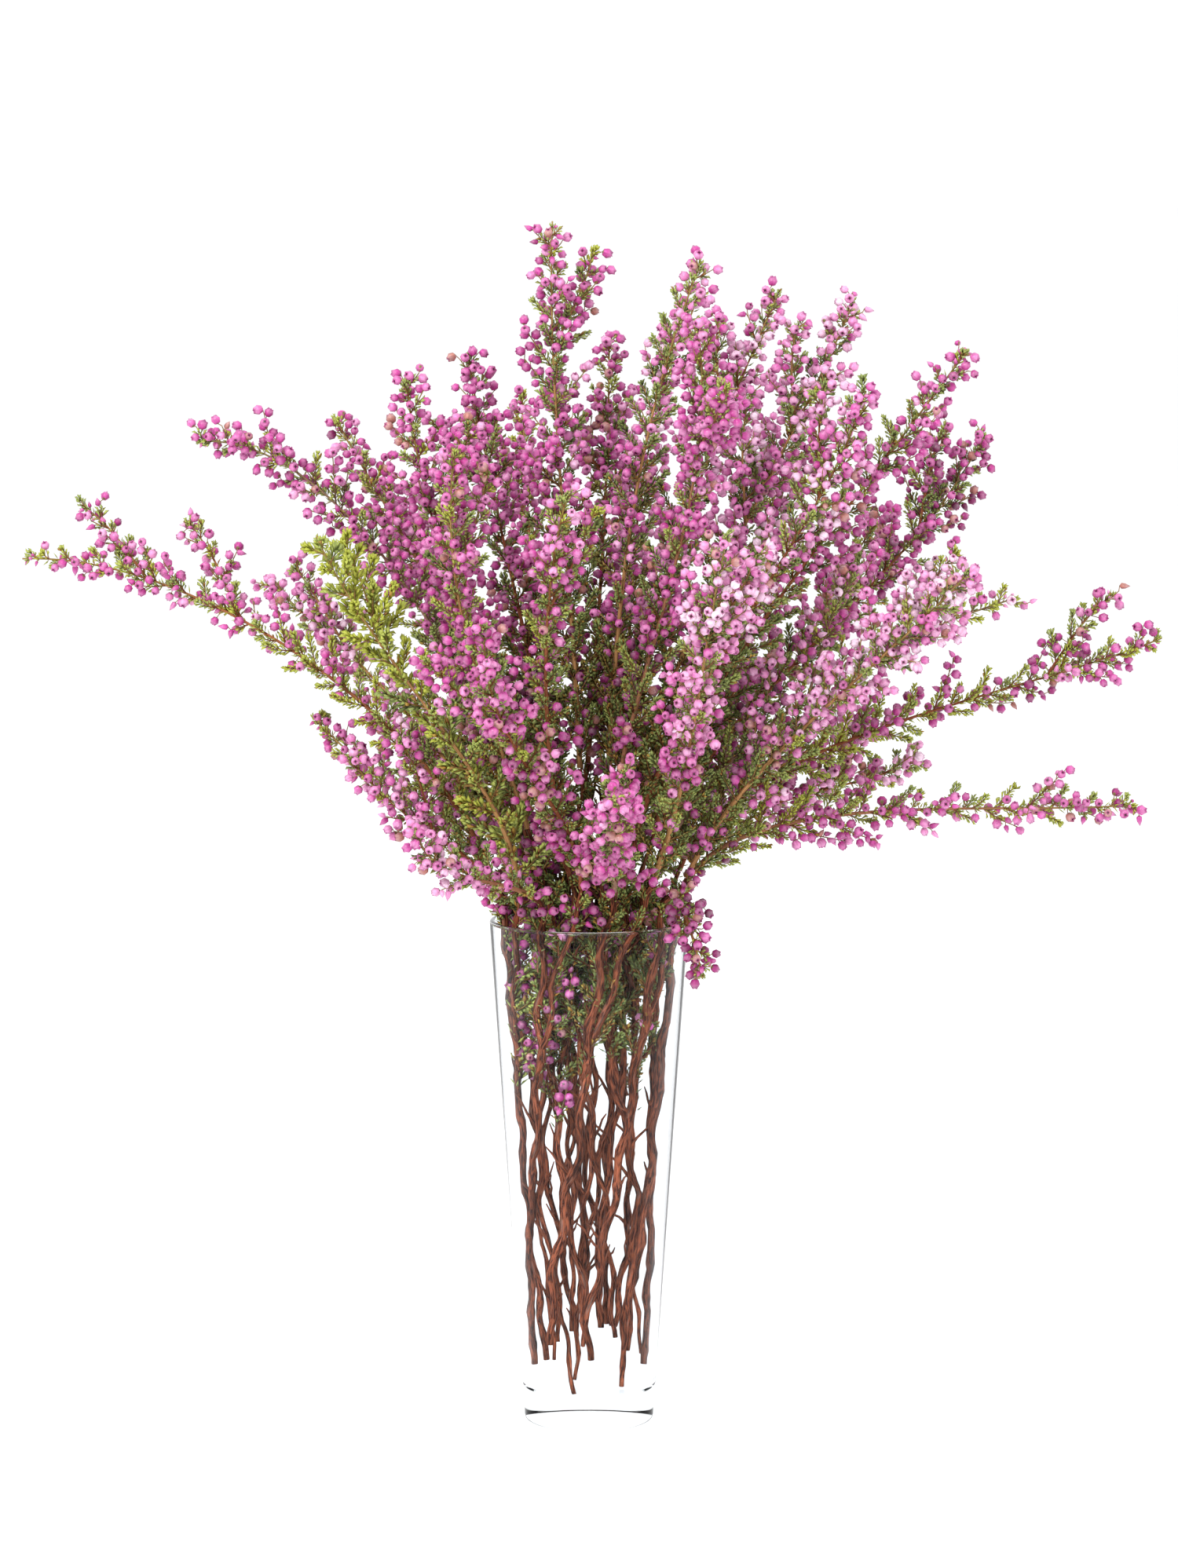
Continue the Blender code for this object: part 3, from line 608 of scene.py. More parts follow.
def tube(points, radii, sides, along=(0.0, 1.0), ridge=None):
    """A tube through points with closed ends. ridge(ring, angle) is a factor on its radius."""
    ways = [(b - a).normalized() for a, b in zip(points, points[1:])]
    ways.append(ways[-1])
    side = ways[0].orthogonal().normalized()
    rings = []
    for i, (place, radius) in enumerate(zip(points, radii)):
        way = (ways[i - 1] + ways[i]).normalized() if i else ways[0]
        side = (side - way * side.dot(way)).normalized()
        other = way.cross(side)
        ring = []
        for step in range(sides):
            angle = 2 * math.pi * step / sides
            reach = radius * (ridge(i, angle) if ridge else 1.0)
            ring.append(place + (side * math.cos(angle) + other * math.sin(angle)) * reach)
        rings.append(ring)
    count = len(points)
    flat = [p for ring in rings for p in ring] + [points[0], points[-1]]
    corners, places = [], []
    for i in range(count - 1):
        v, v_after = (along[0] + (along[1] - along[0]) * k / (count - 1) for k in (i, i + 1))
        for step in range(sides):
            after = (step + 1) % sides
            a, b = i * sides + step, i * sides + after
            c, d = b + sides, a + sides
            u, u_after = step / sides, (step + 1) / sides
            corners += [(a, b, c), (a, c, d)]
            places += [
                ((u, v), (u_after, v), (u_after, v_after)),
                ((u, v), (u_after, v_after), (u, v_after)),
            ]
    first, last = len(flat) - 2, len(flat) - 1
    top = (count - 1) * sides
    for step in range(sides):
        after = (step + 1) % sides
        u, u_after = step / sides, (step + 1) / sides
        v, v_after = along
        corners += [(first, after, step), (last, top + step, top + after)]
        places += [
            ((u, v), (u_after, v), (u, v + 0.01)),
            ((u, v_after), (u, v_after - 0.01), (u_after, v_after)),
        ]
    return Form(np.array(flat, float), np.array(corners), np.array(places, float))


def axes_of(ways, rolls):
    """For each way, square axes whose third is the way, turned by a roll about it."""
    ways = ways / np.linalg.norm(ways, axis=1, keepdims=True)
    upright = abs(ways[:, 2:]) > 0.9
    helper = np.where(upright, (1.0, 0.0, 0.0), (0.0, 0.0, 1.0))
    side = np.cross(helper, ways)
    side /= np.linalg.norm(side, axis=1, keepdims=True)
    other = np.cross(ways, side)
    cos, sin = np.cos(rolls)[:, None], np.sin(rolls)[:, None]
    return np.stack([side * cos + other * sin, other * cos - side * sin, ways], axis=2)


class Growth:
    """What grows on one branch, gathered for one mesh."""

    def __init__(self):
        self.points, self.corners, self.places, self.finishes = [], [], [], []
        self.count = 0

    def add(self, points, corners, places, finish):
        """Adds faces of one finish. Places are already on the map."""
        self.points.append(points)
        self.corners.append(corners + self.count)
        self.places.append(places)
        self.finishes.append(np.full(len(corners), FINISH_ORDER.index(finish), np.int32))
        self.count += len(points)

    def add_form(self, form, finish, cell):
        """Adds one form that is in place already."""
        self.add(form.points, form.corners, on_map(form.places, finish, cell), finish)

    def add_stamps(self, form, finish, stamps):
        """Adds a copy of a form for each stamp."""
        if not stamps:
            return
        places = np.array([stamp.place[:] for stamp in stamps])
        ways = np.array([stamp.way[:] for stamp in stamps])
        rolls = np.array([stamp.roll for stamp in stamps])
        sizes = np.array([stamp.size for stamp in stamps], float)
        if sizes.ndim == 1:
            sizes = np.repeat(sizes[:, None], 3, axis=1)
        cells = np.array([stamp.cell for stamp in stamps], float)
        axes = axes_of(ways, rolls) * sizes[:, None, :]
        points = places[:, None, :] + np.einsum("nij,kj->nki", axes, form.points)
        offsets = np.arange(len(stamps))[:, None, None] * len(form.points)
        corners = (form.corners[None] + offsets).reshape(-1, 3)
        spots = np.stack([on_map(form.places, finish, cell) for cell in cells])
        self.add(points.reshape(-1, 3), corners, spots.reshape(-1, 3, 2), finish)

    def piece(self, name, materials):
        """The mesh object."""
        points, corners = np.concatenate(self.points), np.concatenate(self.corners)
        places, finishes = np.concatenate(self.places), np.concatenate(self.finishes)
        return mesh_piece(name, points, corners, places, finishes, materials, MAP_NAME)


def on_map(places, finish, cell):
    """Shares round and along a form as places in a cell of the finish's band."""
    band = BANDS[finish]
    spots = np.empty_like(places)
    spots[..., 0] = (cell + CELL_MARGIN + (1 - 2 * CELL_MARGIN) * places[..., 0]) / band.cells
    spots[..., 1] = band.low + (band.high - band.low) * places[..., 1]
    return spots


def mesh_piece(name, points, corners, places, finishes, materials, map_name):
    """A mesh object from arrays of points, three-cornered faces and their map."""
    mesh = bpy.data.meshes.new(name)
    mesh.vertices.add(len(points))
    mesh.vertices.foreach_set("co", points.astype(np.float32).ravel())
    mesh.loops.add(corners.size)
    mesh.loops.foreach_set("vertex_index", corners.astype(np.int32).ravel())
    mesh.polygons.add(len(corners))
    mesh.polygons.foreach_set("loop_start", np.arange(0, corners.size, 3, dtype=np.int32))
    mesh.polygons.foreach_set("material_index", finishes)
    mesh.polygons.foreach_set("use_smooth", np.ones(len(corners), bool))
    layer = mesh.uv_layers.new(name=map_name)
    layer.data.foreach_set("uv", places.astype(np.float32).ravel())
    mesh.update(calc_edges=True)
    for material in materials:
        mesh.materials.append(material)
    made = bpy.data.objects.new(name, mesh)
    bpy.context.scene.collection.objects.link(made)
    return made


def bell_form(looks):
    """A globe-shaped bell: a round belly, a narrow neck with four small lobes, and a mouth."""
    half, length = looks.width / 2, looks.length
    profile = (
        (0.0, 0.0, 0.0),
        (half * 0.66, length * 0.12, 0.15),
        (half * 1.00, length * 0.50, 0.50),
        (half * 0.56, length * 0.95, 0.84),
        (0.0, length * 0.66, 1.0),
    )
    form = turned(profile, looks.sides)
    lip = 1 + 2 * looks.sides
    for side in range(1, looks.sides, 2):
        form.points[lip + side, :2] *= 0.66
        form.points[lip + side, 2] -= length * 0.07
    return form


def bud_form(looks):
    """A pointed bud."""
    half, length = looks.width / 2, looks.length
    profile = (
        (0.0, 0.0, 0.0),
        (half * 0.60, length * 0.22, 0.22),
        (half * 0.52, length * 0.58, 0.50),
        (0.0, length * 1.05, 0.78),
    )
    return turned(profile, 6)


def leaf_form(looks):
    """A needle leaf: a slender spindle that bends in at its tip."""
    half, length = looks.width / 2, looks.length
    form = turned(((0.0, 0.0, 0.0), (half, length * 0.45, 0.45), (0.0, length, 1.0)), 3)
    form.points[:, 1] *= 0.7
    form.points[:, 0] -= looks.bend * (form.points[:, 2] / length) ** 2
    return form


def short_leaf_form(looks):
    """A tuft's leaf: it widens to a blunt tip."""
    half, length = looks.short_width / 2, looks.short
    points = [(0, 0, 0)]
    for side, height in ((0, 1.0), (1, 0.78), (2, 0.78)):
        angle = 2 * math.pi * side / 3
        points.append((half * math.cos(angle), half * math.sin(angle), length * height))
    corners = [(0, 2, 1), (0, 3, 2), (0, 1, 3), (1, 2, 3)]
    places = [((0.5, 0.0), (side, 0.8), (side - 0.3, 1.0)) for side in (0.4, 0.7, 1.0)]
    places.append(((0.1, 1.0), (0.4, 0.8), (0.7, 0.8)))
    return Form(np.array(points, float), np.array(corners), np.array(places, float))


def stalk_form():
    """A bell's stalk, of unit radius and length."""
    return turned(((1.0, 0.0, 0.2), (0.8, 1.0, 0.9)), 3)


class Crowd:
    """Keeps the bells apart."""

    def __init__(self, apart):
        self.apart, self.cells = apart, {}

    def cell(self, place):
        return tuple(math.floor(value / self.apart) for value in place)

    def takes(self, place, share=1.0):
        """Whether a place is free; if it is, it is taken."""
        x, y, z = self.cell(place)
        least = (self.apart * share) ** 2
        for i in (x - 1, x, x + 1):
            for j in (y - 1, y, y + 1):
                for k in (z - 1, z, z + 1):
                    for other in self.cells.get((i, j, k), ()):
                        if (other - place).length_squared < least:
                            return False
        self.cells.setdefault((x, y, z), []).append(place)
        return True


def clear_of_glass(place, reach):
    """Whether something of this reach around a place keeps clear of the vase's wall."""
    if place.z > VASE_HEIGHT + reach:
        return True
    radius = place.xy.length
    outside = vase_radius(min(place.z, VASE_HEIGHT))
    return radius > outside + reach or (radius < outside - WALL - reach and place.z > BASE_THICKNESS)


def through_glass(points):
    """Whether a polyline goes through the vase's wall."""
    steps = (first.lerp(second, i / 4) for first, second in zip(points, points[1:]) for i in range(1, 5))
    return not all(clear_of_glass(place, 0.0) for place in steps)


def turned_away(way, angle, turn):
    """A direction at an angle to a way, turned about it."""
    side = way.orthogonal().normalized()
    side.rotate(Matrix.Rotation(turn, 3, way))
    return (way * math.cos(angle) + side * math.sin(angle)).normalized()


UP, DOWN = Vector((0, 0, 1)), Vector((0, 0, -1))
TWIG_RADIUS, TWIG_TIP_RADIUS = 0.00115, 0.00034
SIDE_TWIG_RADIUS, SIDE_TWIG_TIP = 0.00042, 0.00022
AXIS_TWIG_STEP = 0.005
LEAFY_FROM_LOWEST, LEAFY_FROM_HIGHEST = 0.112, 0.170
LEAFY_AT_LEFT = -0.05
CHUNKY_SIZE = 1.4
FAR_OUT = 0.16
TUFT_SHARE = 0.60
BUD_SHARE, FAR_BUD_SHARE = 0.12, 0.35

# How a stretch of an axis is dressed: the way between its side twigs, how long they are, the share
# of them that flowers, and how many bells sit on the axis itself at each row
Dress = namedtuple("Dress", "gap short long flowering bells")
FLOWERING = Dress(0.0034, 0.0100, 0.0180, 0.62, 2)
LOWER = Dress(0.0026, 0.0110, 0.0210, 0.32, 1)
FAR = Dress(0.0038, 0.0080, 0.0150, 0.42, 1)
HANGING = Dress(0.0018, 0.0070, 0.0150, 2.50, 3)
LEAFY = Dress(0.0036, 0.0080, 0.0150, 0.0, 0)
PARTLY_LEAFY = Dress(0.0034, 0.0090, 0.0160, 0.38, 1)
WOOD_AT_LEFT = Dress(0.0044, 0.0080, 0.0160, 1.50, 0)
WOOD = Dress(0.0052, 0.0080, 0.0170, 0.40, 0)


def depth(place):
    """How deep inside the bunch a place is: 1 low in its middle, 0 at its outside and its top. Bells take
    painted shade from it.
    """
    return min(max(1.5 - place.xy.length / 0.060, 0.0), 1.0) * min(max((0.38 - place.z) / 0.10, 0.0), 1.0)


def shade(place):
    """How shaded a place is: 1 around the bunch's middle line, 0 in its outer part and at its top."""
    reach = min(0.046 + 0.33 * max(place.z - VASE_HEIGHT, 0.0), 0.075)
    return min(max(1.3 - place.xy.length / reach, 0.0), 1.0) * min(max((0.45 - place.z) / 0.08, 0.0), 1.0)


def paleness(place):
    """How pale the bells are at a place: 1 at the right, half-way up the bunch."""
    across = min(max((place.x - 0.02) / 0.04, 0.0), 1.0)
    return across * max(1.0 - abs(place.z - 0.325) / 0.045, 0.0)


def spread(place):
    """How far the side twigs reach at a place, a share: further low at the right."""
    across = min(max((place.x - 0.03) / 0.05, 0.0), 1.0)
    return 1.0 + 0.35 * across * min(max((0.38 - place.z) / 0.05, 0.0), 1.0)


def bloom(place):
    """How freely the heather flowers at a place: less low in the middle of the bunch."""
    up, out = (place.z - 0.24) / 0.08, (place.xy.length - 0.045) / 0.030
    return 0.38 + 0.77 * min(max(up, out, 0.0), 1.0)


class Grower:
    """Grows one spray: twigs, bells and leaves round its axes."""

    def __init__(self, branch, crowd, bells, leaves):
        self.branch, self.crowd, self.bells, self.leaves = branch, crowd, bells, leaves
        self.draw = random.Random(branch.name)
        self.kind = branch.tip.kind
        self.growth = Growth()
        self.bell_stamps, self.bud_stamps, self.stalk_stamps = [], [], []
        self.leaf_stamps, self.short_stamps = [], []
        self.bark_cell = self.draw.choice((0, 1, 2, 3, 4, 6))
        self.far = abs(branch.tip.x) > FAR_OUT
        self.leaf_middle, self.tuft = self.leaf_tint(), 0.0
        self.cluster, self.withered = 0.0, WITHERED_SHARE
        self.chunky = self.kind == "leafy" and branch.tip.x < LEAFY_AT_LEFT

    def leaf_tint(self):
        """The middle leaf tint of the spray: yellow-green on the left, greener to the right."""
        if self.kind == "leafy":
            return 0.6 if self.branch.tip.x < LEAFY_AT_LEFT else 4.5
        if self.far:
            return 2.6
        return 4.2 + 1.8 * min(max(self.branch.tip.x / 0.20 + 0.4, 0.0), 1.0) + self.draw.uniform(-1.5, 1.5)

    def leaf_cell(self, place):
        """A leaf's tint: darker round the middle of the bunch, as painted shade, and often orange-brown low in
        its middle.
        """
        if self.draw.random() < 0.04 + 0.20 * depth(place):
            return self.draw.choice((13, 14, 15))
        # Painted shade: a leaf takes a darker tint where shade() is high.
        return int(min(max(self.draw.gauss(self.leaf_middle + self.tuft + 6.0 * shade(place), 1.0), 0), 12))

    def bell_cell(self, place):
        """A bell's tint: darker deep inside the bunch, as painted shade. A few are withered."""
        if self.draw.random() < self.withered:
            return WITHERED_CELL
        middle, spread = BELL_TINTS[self.kind]
        # Painted shade: deep inside the bunch a bell takes a darker tint.
        middle += self.cluster + 3.2 * depth(place)
        return int(min(max(self.draw.gauss(middle, spread), 0), WITHERED_CELL - 1))

    def fits(self, place, reach):
        """Whether something of this reach stays inside the model's box and clear of the glass."""
        low, high = CAD_BOX
        inside = all(a + reach < value < b - reach for a, value, b in zip(low, place, high))
        return inside and clear_of_glass(place, reach)

    def bell(self, root, out, reach, size=1.0, bud=False):
        """A bell or a bud on its stalk, where there is room for it."""
        draw = self.draw
        size *= draw.uniform(0.84, 1.06)
        centre = root + out * reach
        if not self.fits(centre, 0.0024 * size) or through_glass([root, centre]):
            return
        if not self.crowd.takes(centre, size):
            return
        jitter = Vector([draw.uniform(-1, 1) for _ in range(3)])
        face = (out + DOWN * draw.uniform(0.0, 0.7) + jitter * 0.4).normalized()
        base = centre - face * self.bells.length * size * 0.5
        stalk = base + face * self.bells.length * 0.06 - root
        stamps = self.bud_stamps if bud else self.bell_stamps
        stamps.append(Stamp(base, face, draw.uniform(0, 2 * math.pi), size, self.bell_cell(base)))
        thickness = self.bells.stalk
        self.stalk_stamps.append(Stamp(root, stalk, 0.0, (thickness, thickness, stalk.length), 5))

    def whorl(self, place, way, radius, count, angle, size=1.0, short=False):
        """Leaves round one place of a twig."""
        draw = self.draw
        turn = draw.uniform(0, 2 * math.pi)
        length = self.leaves.short if short else self.leaves.length
        size *= CHUNKY_SIZE if self.chunky else 1.0
        stamps = self.short_stamps if short else self.leaf_stamps
        for i in range(count):
            aside = turn + 2 * math.pi * i / count + draw.uniform(-0.3, 0.3)
            out = turned_away(way, angle * draw.uniform(0.75, 1.25), aside)
            root = place + (out - way * out.dot(way)) * radius * 0.6
            if self.fits(root + out * length * size, 0.0005):
                own = size * draw.uniform(0.8, 1.15)
                stamps.append(Stamp(root, out, draw.uniform(0, 2 * math.pi), own, self.leaf_cell(root)))

    def twig(self, points, first_radius, last_radius, sides, along):
        """A twig's wood, slimmer soon after its foot."""
        count = len(points) - 1
        radii = [
            last_radius + (first_radius - last_radius) * (1 - i / count) ** 1.5 for i in range(count + 1)
        ]
        self.growth.add_form(tube(points, radii, sides, along), "twig", self.bark_cell)

    def side_twig(self, root, way, length, flowering):
        """A side twig: a tuft of short leaves, or bells above a few leaves."""
        draw = self.draw
        rise = UP * length * draw.uniform(0.1, 0.35)
        points = [root, root + way * length * 0.5 + rise * 0.3, root + way * length + rise]
        if not all(self.fits(point, 0.0016) for point in points[1:]) or through_glass(points):
            return
        self.tuft, self.cluster = draw.gauss(0, 2.2), draw.gauss(0, 1.3)
        if draw.random() < 0.45 * paleness(root):
            self.cluster = -3.6
        self.withered = 0.35 if draw.random() < 0.08 else WITHERED_SHARE
        self.twig(points, SIDE_TWIG_RADIUS, SIDE_TWIG_TIP, 3, (0.55, 0.95))
        lengths = running_lengths(points)
        ahead = (points[-1] - points[0]).normalized()
        leafy_to = 0.5 if flowering else 1.0
        at = 0.0012
        while at < lengths[-1] * leafy_to:
            place = point_at(points, lengths, at)
            angle = 0.80 - 0.40 * at / lengths[-1]
            self.whorl(place, ahead, SIDE_TWIG_RADIUS, 4, angle, draw.uniform(0.95, 1.3), short=True)
            at += self.leaves.short_row
        if not flowering:
            self.whorl(points[-1], ahead, SIDE_TWIG_TIP, 4, 0.35, 1.0, short=True)
            return
        turn = draw.uniform(0, 2 * math.pi)
        count = max(3, round(length / 0.0021))
        for i in range(count):
            share = 0.25 + 0.75 * i / (count - 1)
            place = point_at(points, lengths, lengths[-1] * share)
            turn += GOLDEN_TURN
            out = turned_away(ahead, 1.3 - 0.6 * share, turn)
            bud = draw.random() < (FAR_BUD_SHARE if self.far else BUD_SHARE)
            self.bell(place, out, draw.uniform(0.0026, 0.0036), bud=bud)
        self.bell(points[-1], ahead, 0.0030)

    def column(self, axis, dress_at, first_radius, last_radius):
        """Everything round one axis. dress_at(distance) says how that place is dressed."""
        draw, lengths = self.draw, running_lengths(axis)
        whole = lengths[-1]
        turn, at = draw.uniform(0, 2 * math.pi), 0.002
        next_twig, next_row, next_bell = 0.003, 0.0, 0.0
        while at < whole:
            share = at / whole
            place = point_at(axis, lengths, at)
            way = (point_at(axis, lengths, at + 0.002) - point_at(axis, lengths, at - 0.002)).normalized()
            wood = first_radius + (last_radius - first_radius) * share
            dress = dress_at(at)
            if at >= next_row:
                self.whorl(place, way, wood, 3, 0.8)
                next_row = at + self.leaves.row
            if at >= next_twig:
                turn += GOLDEN_TURN
                out = turned_away(way, draw.uniform(0.65, 1.1), turn)
                slim = self.slim(axis, whole - at)
                length = draw.uniform(dress.short, dress.long) * slim * spread(place)
                foot = place + (out - way * out.dot(way)) * wood * 0.5
                flowering = draw.random() < dress.flowering * bloom(place)
                if not flowering and not self.chunky:
                    length *= TUFT_SHARE + (1 - TUFT_SHARE) * shade(place)
                self.side_twig(foot, out, length, flowering)
                next_twig = at + dress.gap * draw.uniform(0.8, 1.2)
            if at >= next_bell:
                for i in range(dress.bells if draw.random() < bloom(place) else 0):
                    out = turned_away(way, draw.uniform(1.1, 1.6), turn + 1.2 + 2.2 * i)
                    self.bell(place, out, draw.uniform(0.0040, 0.0060))
                next_bell = at + self.bells.row
            at += 0.0006

    def slim(self, axis, left):
        """How much slimmer an axis's dress gets near its end, where only tips are left."""
        return 0.32 + 0.68 * min(left / 0.042, 1.0)

    def tip(self, axis):
        """The end of an axis: crowded young leaves and small buds."""
        end = (axis[-1] - axis[-2]).normalized()
        for step in range(4):
            self.whorl(axis[-1] - end * 0.001 * step, end, TWIG_TIP_RADIUS, 4, 0.3 + 0.1 * step, 0.9, short=True)
        if self.kind != "leafy":
            for step in range(6):
                out = turned_away(end, 0.9, step * GOLDEN_TURN)
                self.bell(axis[-1] - end * (0.001 + 0.0012 * step), out, 0.0026, 0.66, bud=True)

    def wood_below(self):
        """The branch's wood from the vase's upper part to the foot of its spray."""
        start = self.draw.uniform(LEAFY_FROM_LOWEST, LEAFY_FROM_HIGHEST)
        inside = [place for place in self.branch.inside(0.004) if place.z > start]
        return inside + self.branch.wood()[1:]

    def grow(self):
        """Grows the spray, its side shoots, and the leafy twigs on the wood below it."""
        main = self.branch.spray()
        zone = max(0.0, running_lengths(main)[-1] - self.bells.zone)
        above, below = FLOWERING, LOWER
        if self.kind == "leafy":
            above = below = LEAFY if self.chunky else PARTLY_LEAFY
        elif self.far:
            above = FAR
        elif self.branch.tip.z < VASE_HEIGHT:
            above = below = HANGING
        on_wood = WOOD_AT_LEFT if main[0].x < -0.012 else WOOD
        self.column(self.wood_below(), lambda at: on_wood, STEM_RADIUS * RIM_SHARE, TWIG_RADIUS)
        self.twig(spread_out(main, AXIS_TWIG_STEP), TWIG_RADIUS, TWIG_TIP_RADIUS, 6, (0.0, 1.0))
        self.column(main, lambda at: above if at >= zone else below, TWIG_RADIUS, TWIG_TIP_RADIUS)
        self.tip(main)
        for shoot in self.branch.shoots:
            self.twig(spread_out(shoot, AXIS_TWIG_STEP), TWIG_RADIUS * 0.6, TWIG_TIP_RADIUS, 5, (0.3, 1.0))
            self.column(shoot, lambda at: above, TWIG_RADIUS * 0.6, TWIG_TIP_RADIUS)
            self.tip(shoot)
        for form, finish, stamps in (
            (bell_form(self.bells), "bell", self.bell_stamps),
            (bud_form(self.bells), "bell", self.bud_stamps),
            (leaf_form(self.leaves), "leaf", self.leaf_stamps),
            (short_leaf_form(self.leaves), "leaf", self.short_stamps),
            (stalk_form(), "twig", self.stalk_stamps),
        ):
            self.growth.add_stamps(form, finish, stamps)
        return self.growth


def new_node(tree, kind, **settings):
    """A node with settings."""
    node = tree.nodes.new(kind)
    for name, value in settings.items():
        setattr(node, name, value)
    return node


def join(tree, source, target):
    """A link between two sockets."""
    tree.links.new(source, target)


def new_group(name, inputs, outputs):
    """A shader node group with named sockets, and its two end nodes."""
    tree = bpy.data.node_groups.new(name, "ShaderNodeTree")
    for label, kind, default in inputs:
        socket = tree.interface.new_socket(label, in_out="INPUT", socket_type=kind)
        if default is not None:
            socket.default_value = default
    for label, kind in outputs:
        tree.interface.new_socket(label, in_out="OUTPUT", socket_type=kind)
    return tree, tree.nodes.new("NodeGroupInput"), tree.nodes.new("NodeGroupOutput")


def maths(tree, operation, first, second=None, clamp=False):
    """A Math node's result. A number goes in as it is."""
    node = new_node(tree, "ShaderNodeMath", operation=operation, use_clamp=clamp)
    for i, value in enumerate((first, second)):
        if value is None:
            continue
        if isinstance(value, (int, float)):
            node.inputs[i].default_value = value
        else:
            join(tree, value, node.inputs[i])
    return node.outputs[0]


def map_range(tree, value, low, high, to_low=0.0, to_high=1.0, smooth=True):
    """A value from one range in another."""
    node = new_node(tree, "ShaderNodeMapRange", interpolation_type="SMOOTHSTEP" if smooth else "LINEAR")
    join(tree, value, node.inputs["Value"])
    for name, number in zip(("From Min", "From Max", "To Min", "To Max"), (low, high, to_low, to_high)):
        node.inputs[name].default_value = number
    return node.outputs["Result"]


def mixed(tree, share, first, second, blend="MIX"):
    """A colour mix. Colours go in as sockets or as three numbers."""
    node = new_node(tree, "ShaderNodeMix", data_type="RGBA", blend_type=blend)
    for socket, value in zip((node.inputs[0], node.inputs[6], node.inputs[7]), (share, first, second)):
        if isinstance(value, float):
            socket.default_value = value
        elif isinstance(value, bpy.types.NodeSocket):
            join(tree, value, socket)
        else:
            socket.default_value = (*value, 1)
    return node.outputs[2]


def ramp(tree, value, stops):
    """A colour ramp through named stops."""
    node = new_node(tree, "ShaderNodeValToRGB")
    elements = node.color_ramp.elements
    while len(elements) < len(stops):
        elements.new(0.5)
    for element, (place, colour) in zip(elements, stops):
        element.position = place
        element.color = (*colour, 1)
    join(tree, value, node.inputs[0])
    return node.outputs[0]


@functools.cache
def cell_group():
    """Reads a spray's map: the cell, as a share of all cells, and the shares round and along."""
    tree, start, end = new_group(
        "map_cell",
        [("Map", "NodeSocketVector", None), ("Cells", "NodeSocketFloat", 16.0),
         ("Low", "NodeSocketFloat", 0.0), ("High", "NodeSocketFloat", 1.0)],
        [("Tint", "NodeSocketFloat"), ("Around", "NodeSocketVector"), ("Along", "NodeSocketFloat")],
    )
    split = new_node(tree, "ShaderNodeSeparateXYZ")
    join(tree, start.outputs["Map"], split.inputs[0])
    wide = maths(tree, "MULTIPLY", split.outputs[0], start.outputs["Cells"])
    cell = maths(tree, "FLOOR", wide)
    tint = maths(tree, "DIVIDE", cell, maths(tree, "SUBTRACT", start.outputs["Cells"], 1.0))
    angle = maths(tree, "MULTIPLY", maths(tree, "FRACT", wide), 2 * math.pi / (1 - 2 * CELL_MARGIN))
    height = maths(tree, "SUBTRACT", start.outputs["High"], start.outputs["Low"])
    along = maths(tree, "DIVIDE", maths(tree, "SUBTRACT", split.outputs[1], start.outputs["Low"]), height)
    circle = new_node(tree, "ShaderNodeCombineXYZ")
    join(tree, maths(tree, "COSINE", angle), circle.inputs[0])
    join(tree, maths(tree, "SINE", angle), circle.inputs[1])
    join(tree, maths(tree, "ADD", along, maths(tree, "MULTIPLY", cell, 3.7)), circle.inputs[2])
    join(tree, tint, end.inputs["Tint"])
    join(tree, circle.outputs[0], end.inputs["Around"])
    join(tree, along, end.inputs["Along"])
    return tree


@functools.cache
def mottle_group():
    """Uneven colour: a colour made lighter and darker in soft streaks along the form."""
    tree, start, end = new_group(
        "mottle",
        [("Colour", "NodeSocketColor", (1, 1, 1, 1)), ("Place", "NodeSocketVector", None),
         ("Scale", "NodeSocketFloat", 3.0), ("Amount", "NodeSocketFloat", 0.3)],
        [("Colour", "NodeSocketColor"), ("Mask", "NodeSocketFloat")],
    )
    noise = new_node(tree, "ShaderNodeTexNoise")
    noise.inputs["Detail"].default_value = 3.0
    join(tree, start.outputs["Place"], noise.inputs["Vector"])
    join(tree, start.outputs["Scale"], noise.inputs["Scale"])
    mask = map_range(tree, noise.outputs["Fac"], 0.3, 0.7)
    centred = maths(tree, "MULTIPLY", maths(tree, "SUBTRACT", mask, 0.5), start.outputs["Amount"])
    scale = new_node(tree, "ShaderNodeVectorMath", operation="SCALE")
    join(tree, start.outputs["Colour"], scale.inputs[0])
    join(tree, maths(tree, "ADD", centred, 1.0), scale.inputs["Scale"])
    join(tree, scale.outputs[0], end.inputs["Colour"])
    join(tree, mask, end.inputs["Mask"])
    return tree


def new_material(name, sheen=0.5):
    """A material with its shader and its output. Sheen is how much its surface mirrors, 0.5 as usual."""
    made = bpy.data.materials.new(name)
    made.use_nodes = True
    shader = made.node_tree.nodes["Principled BSDF"]
    shader.inputs["Specular IOR Level"].default_value = sheen
    return made, made.node_tree, shader


def read_cell(tree, finish):
    """The map's cell in a material."""
    place = new_node(tree, "ShaderNodeUVMap", uv_map=MAP_NAME)
    cell = new_node(tree, "ShaderNodeGroup", node_tree=cell_group())
    band = BANDS[finish]
    join(tree, place.outputs[0], cell.inputs["Map"])
    for name, value in (("Cells", band.cells), ("Low", band.low), ("High", band.high)):
        cell.inputs[name].default_value = value
    return cell


def mottled(tree, colour, place, scale, amount):
    """A colour made uneven."""
    group = new_node(tree, "ShaderNodeGroup", node_tree=mottle_group())
    join(tree, colour, group.inputs["Colour"])
    join(tree, place, group.inputs["Place"])
    group.inputs["Scale"].default_value = scale
    group.inputs["Amount"].default_value = amount
    return group


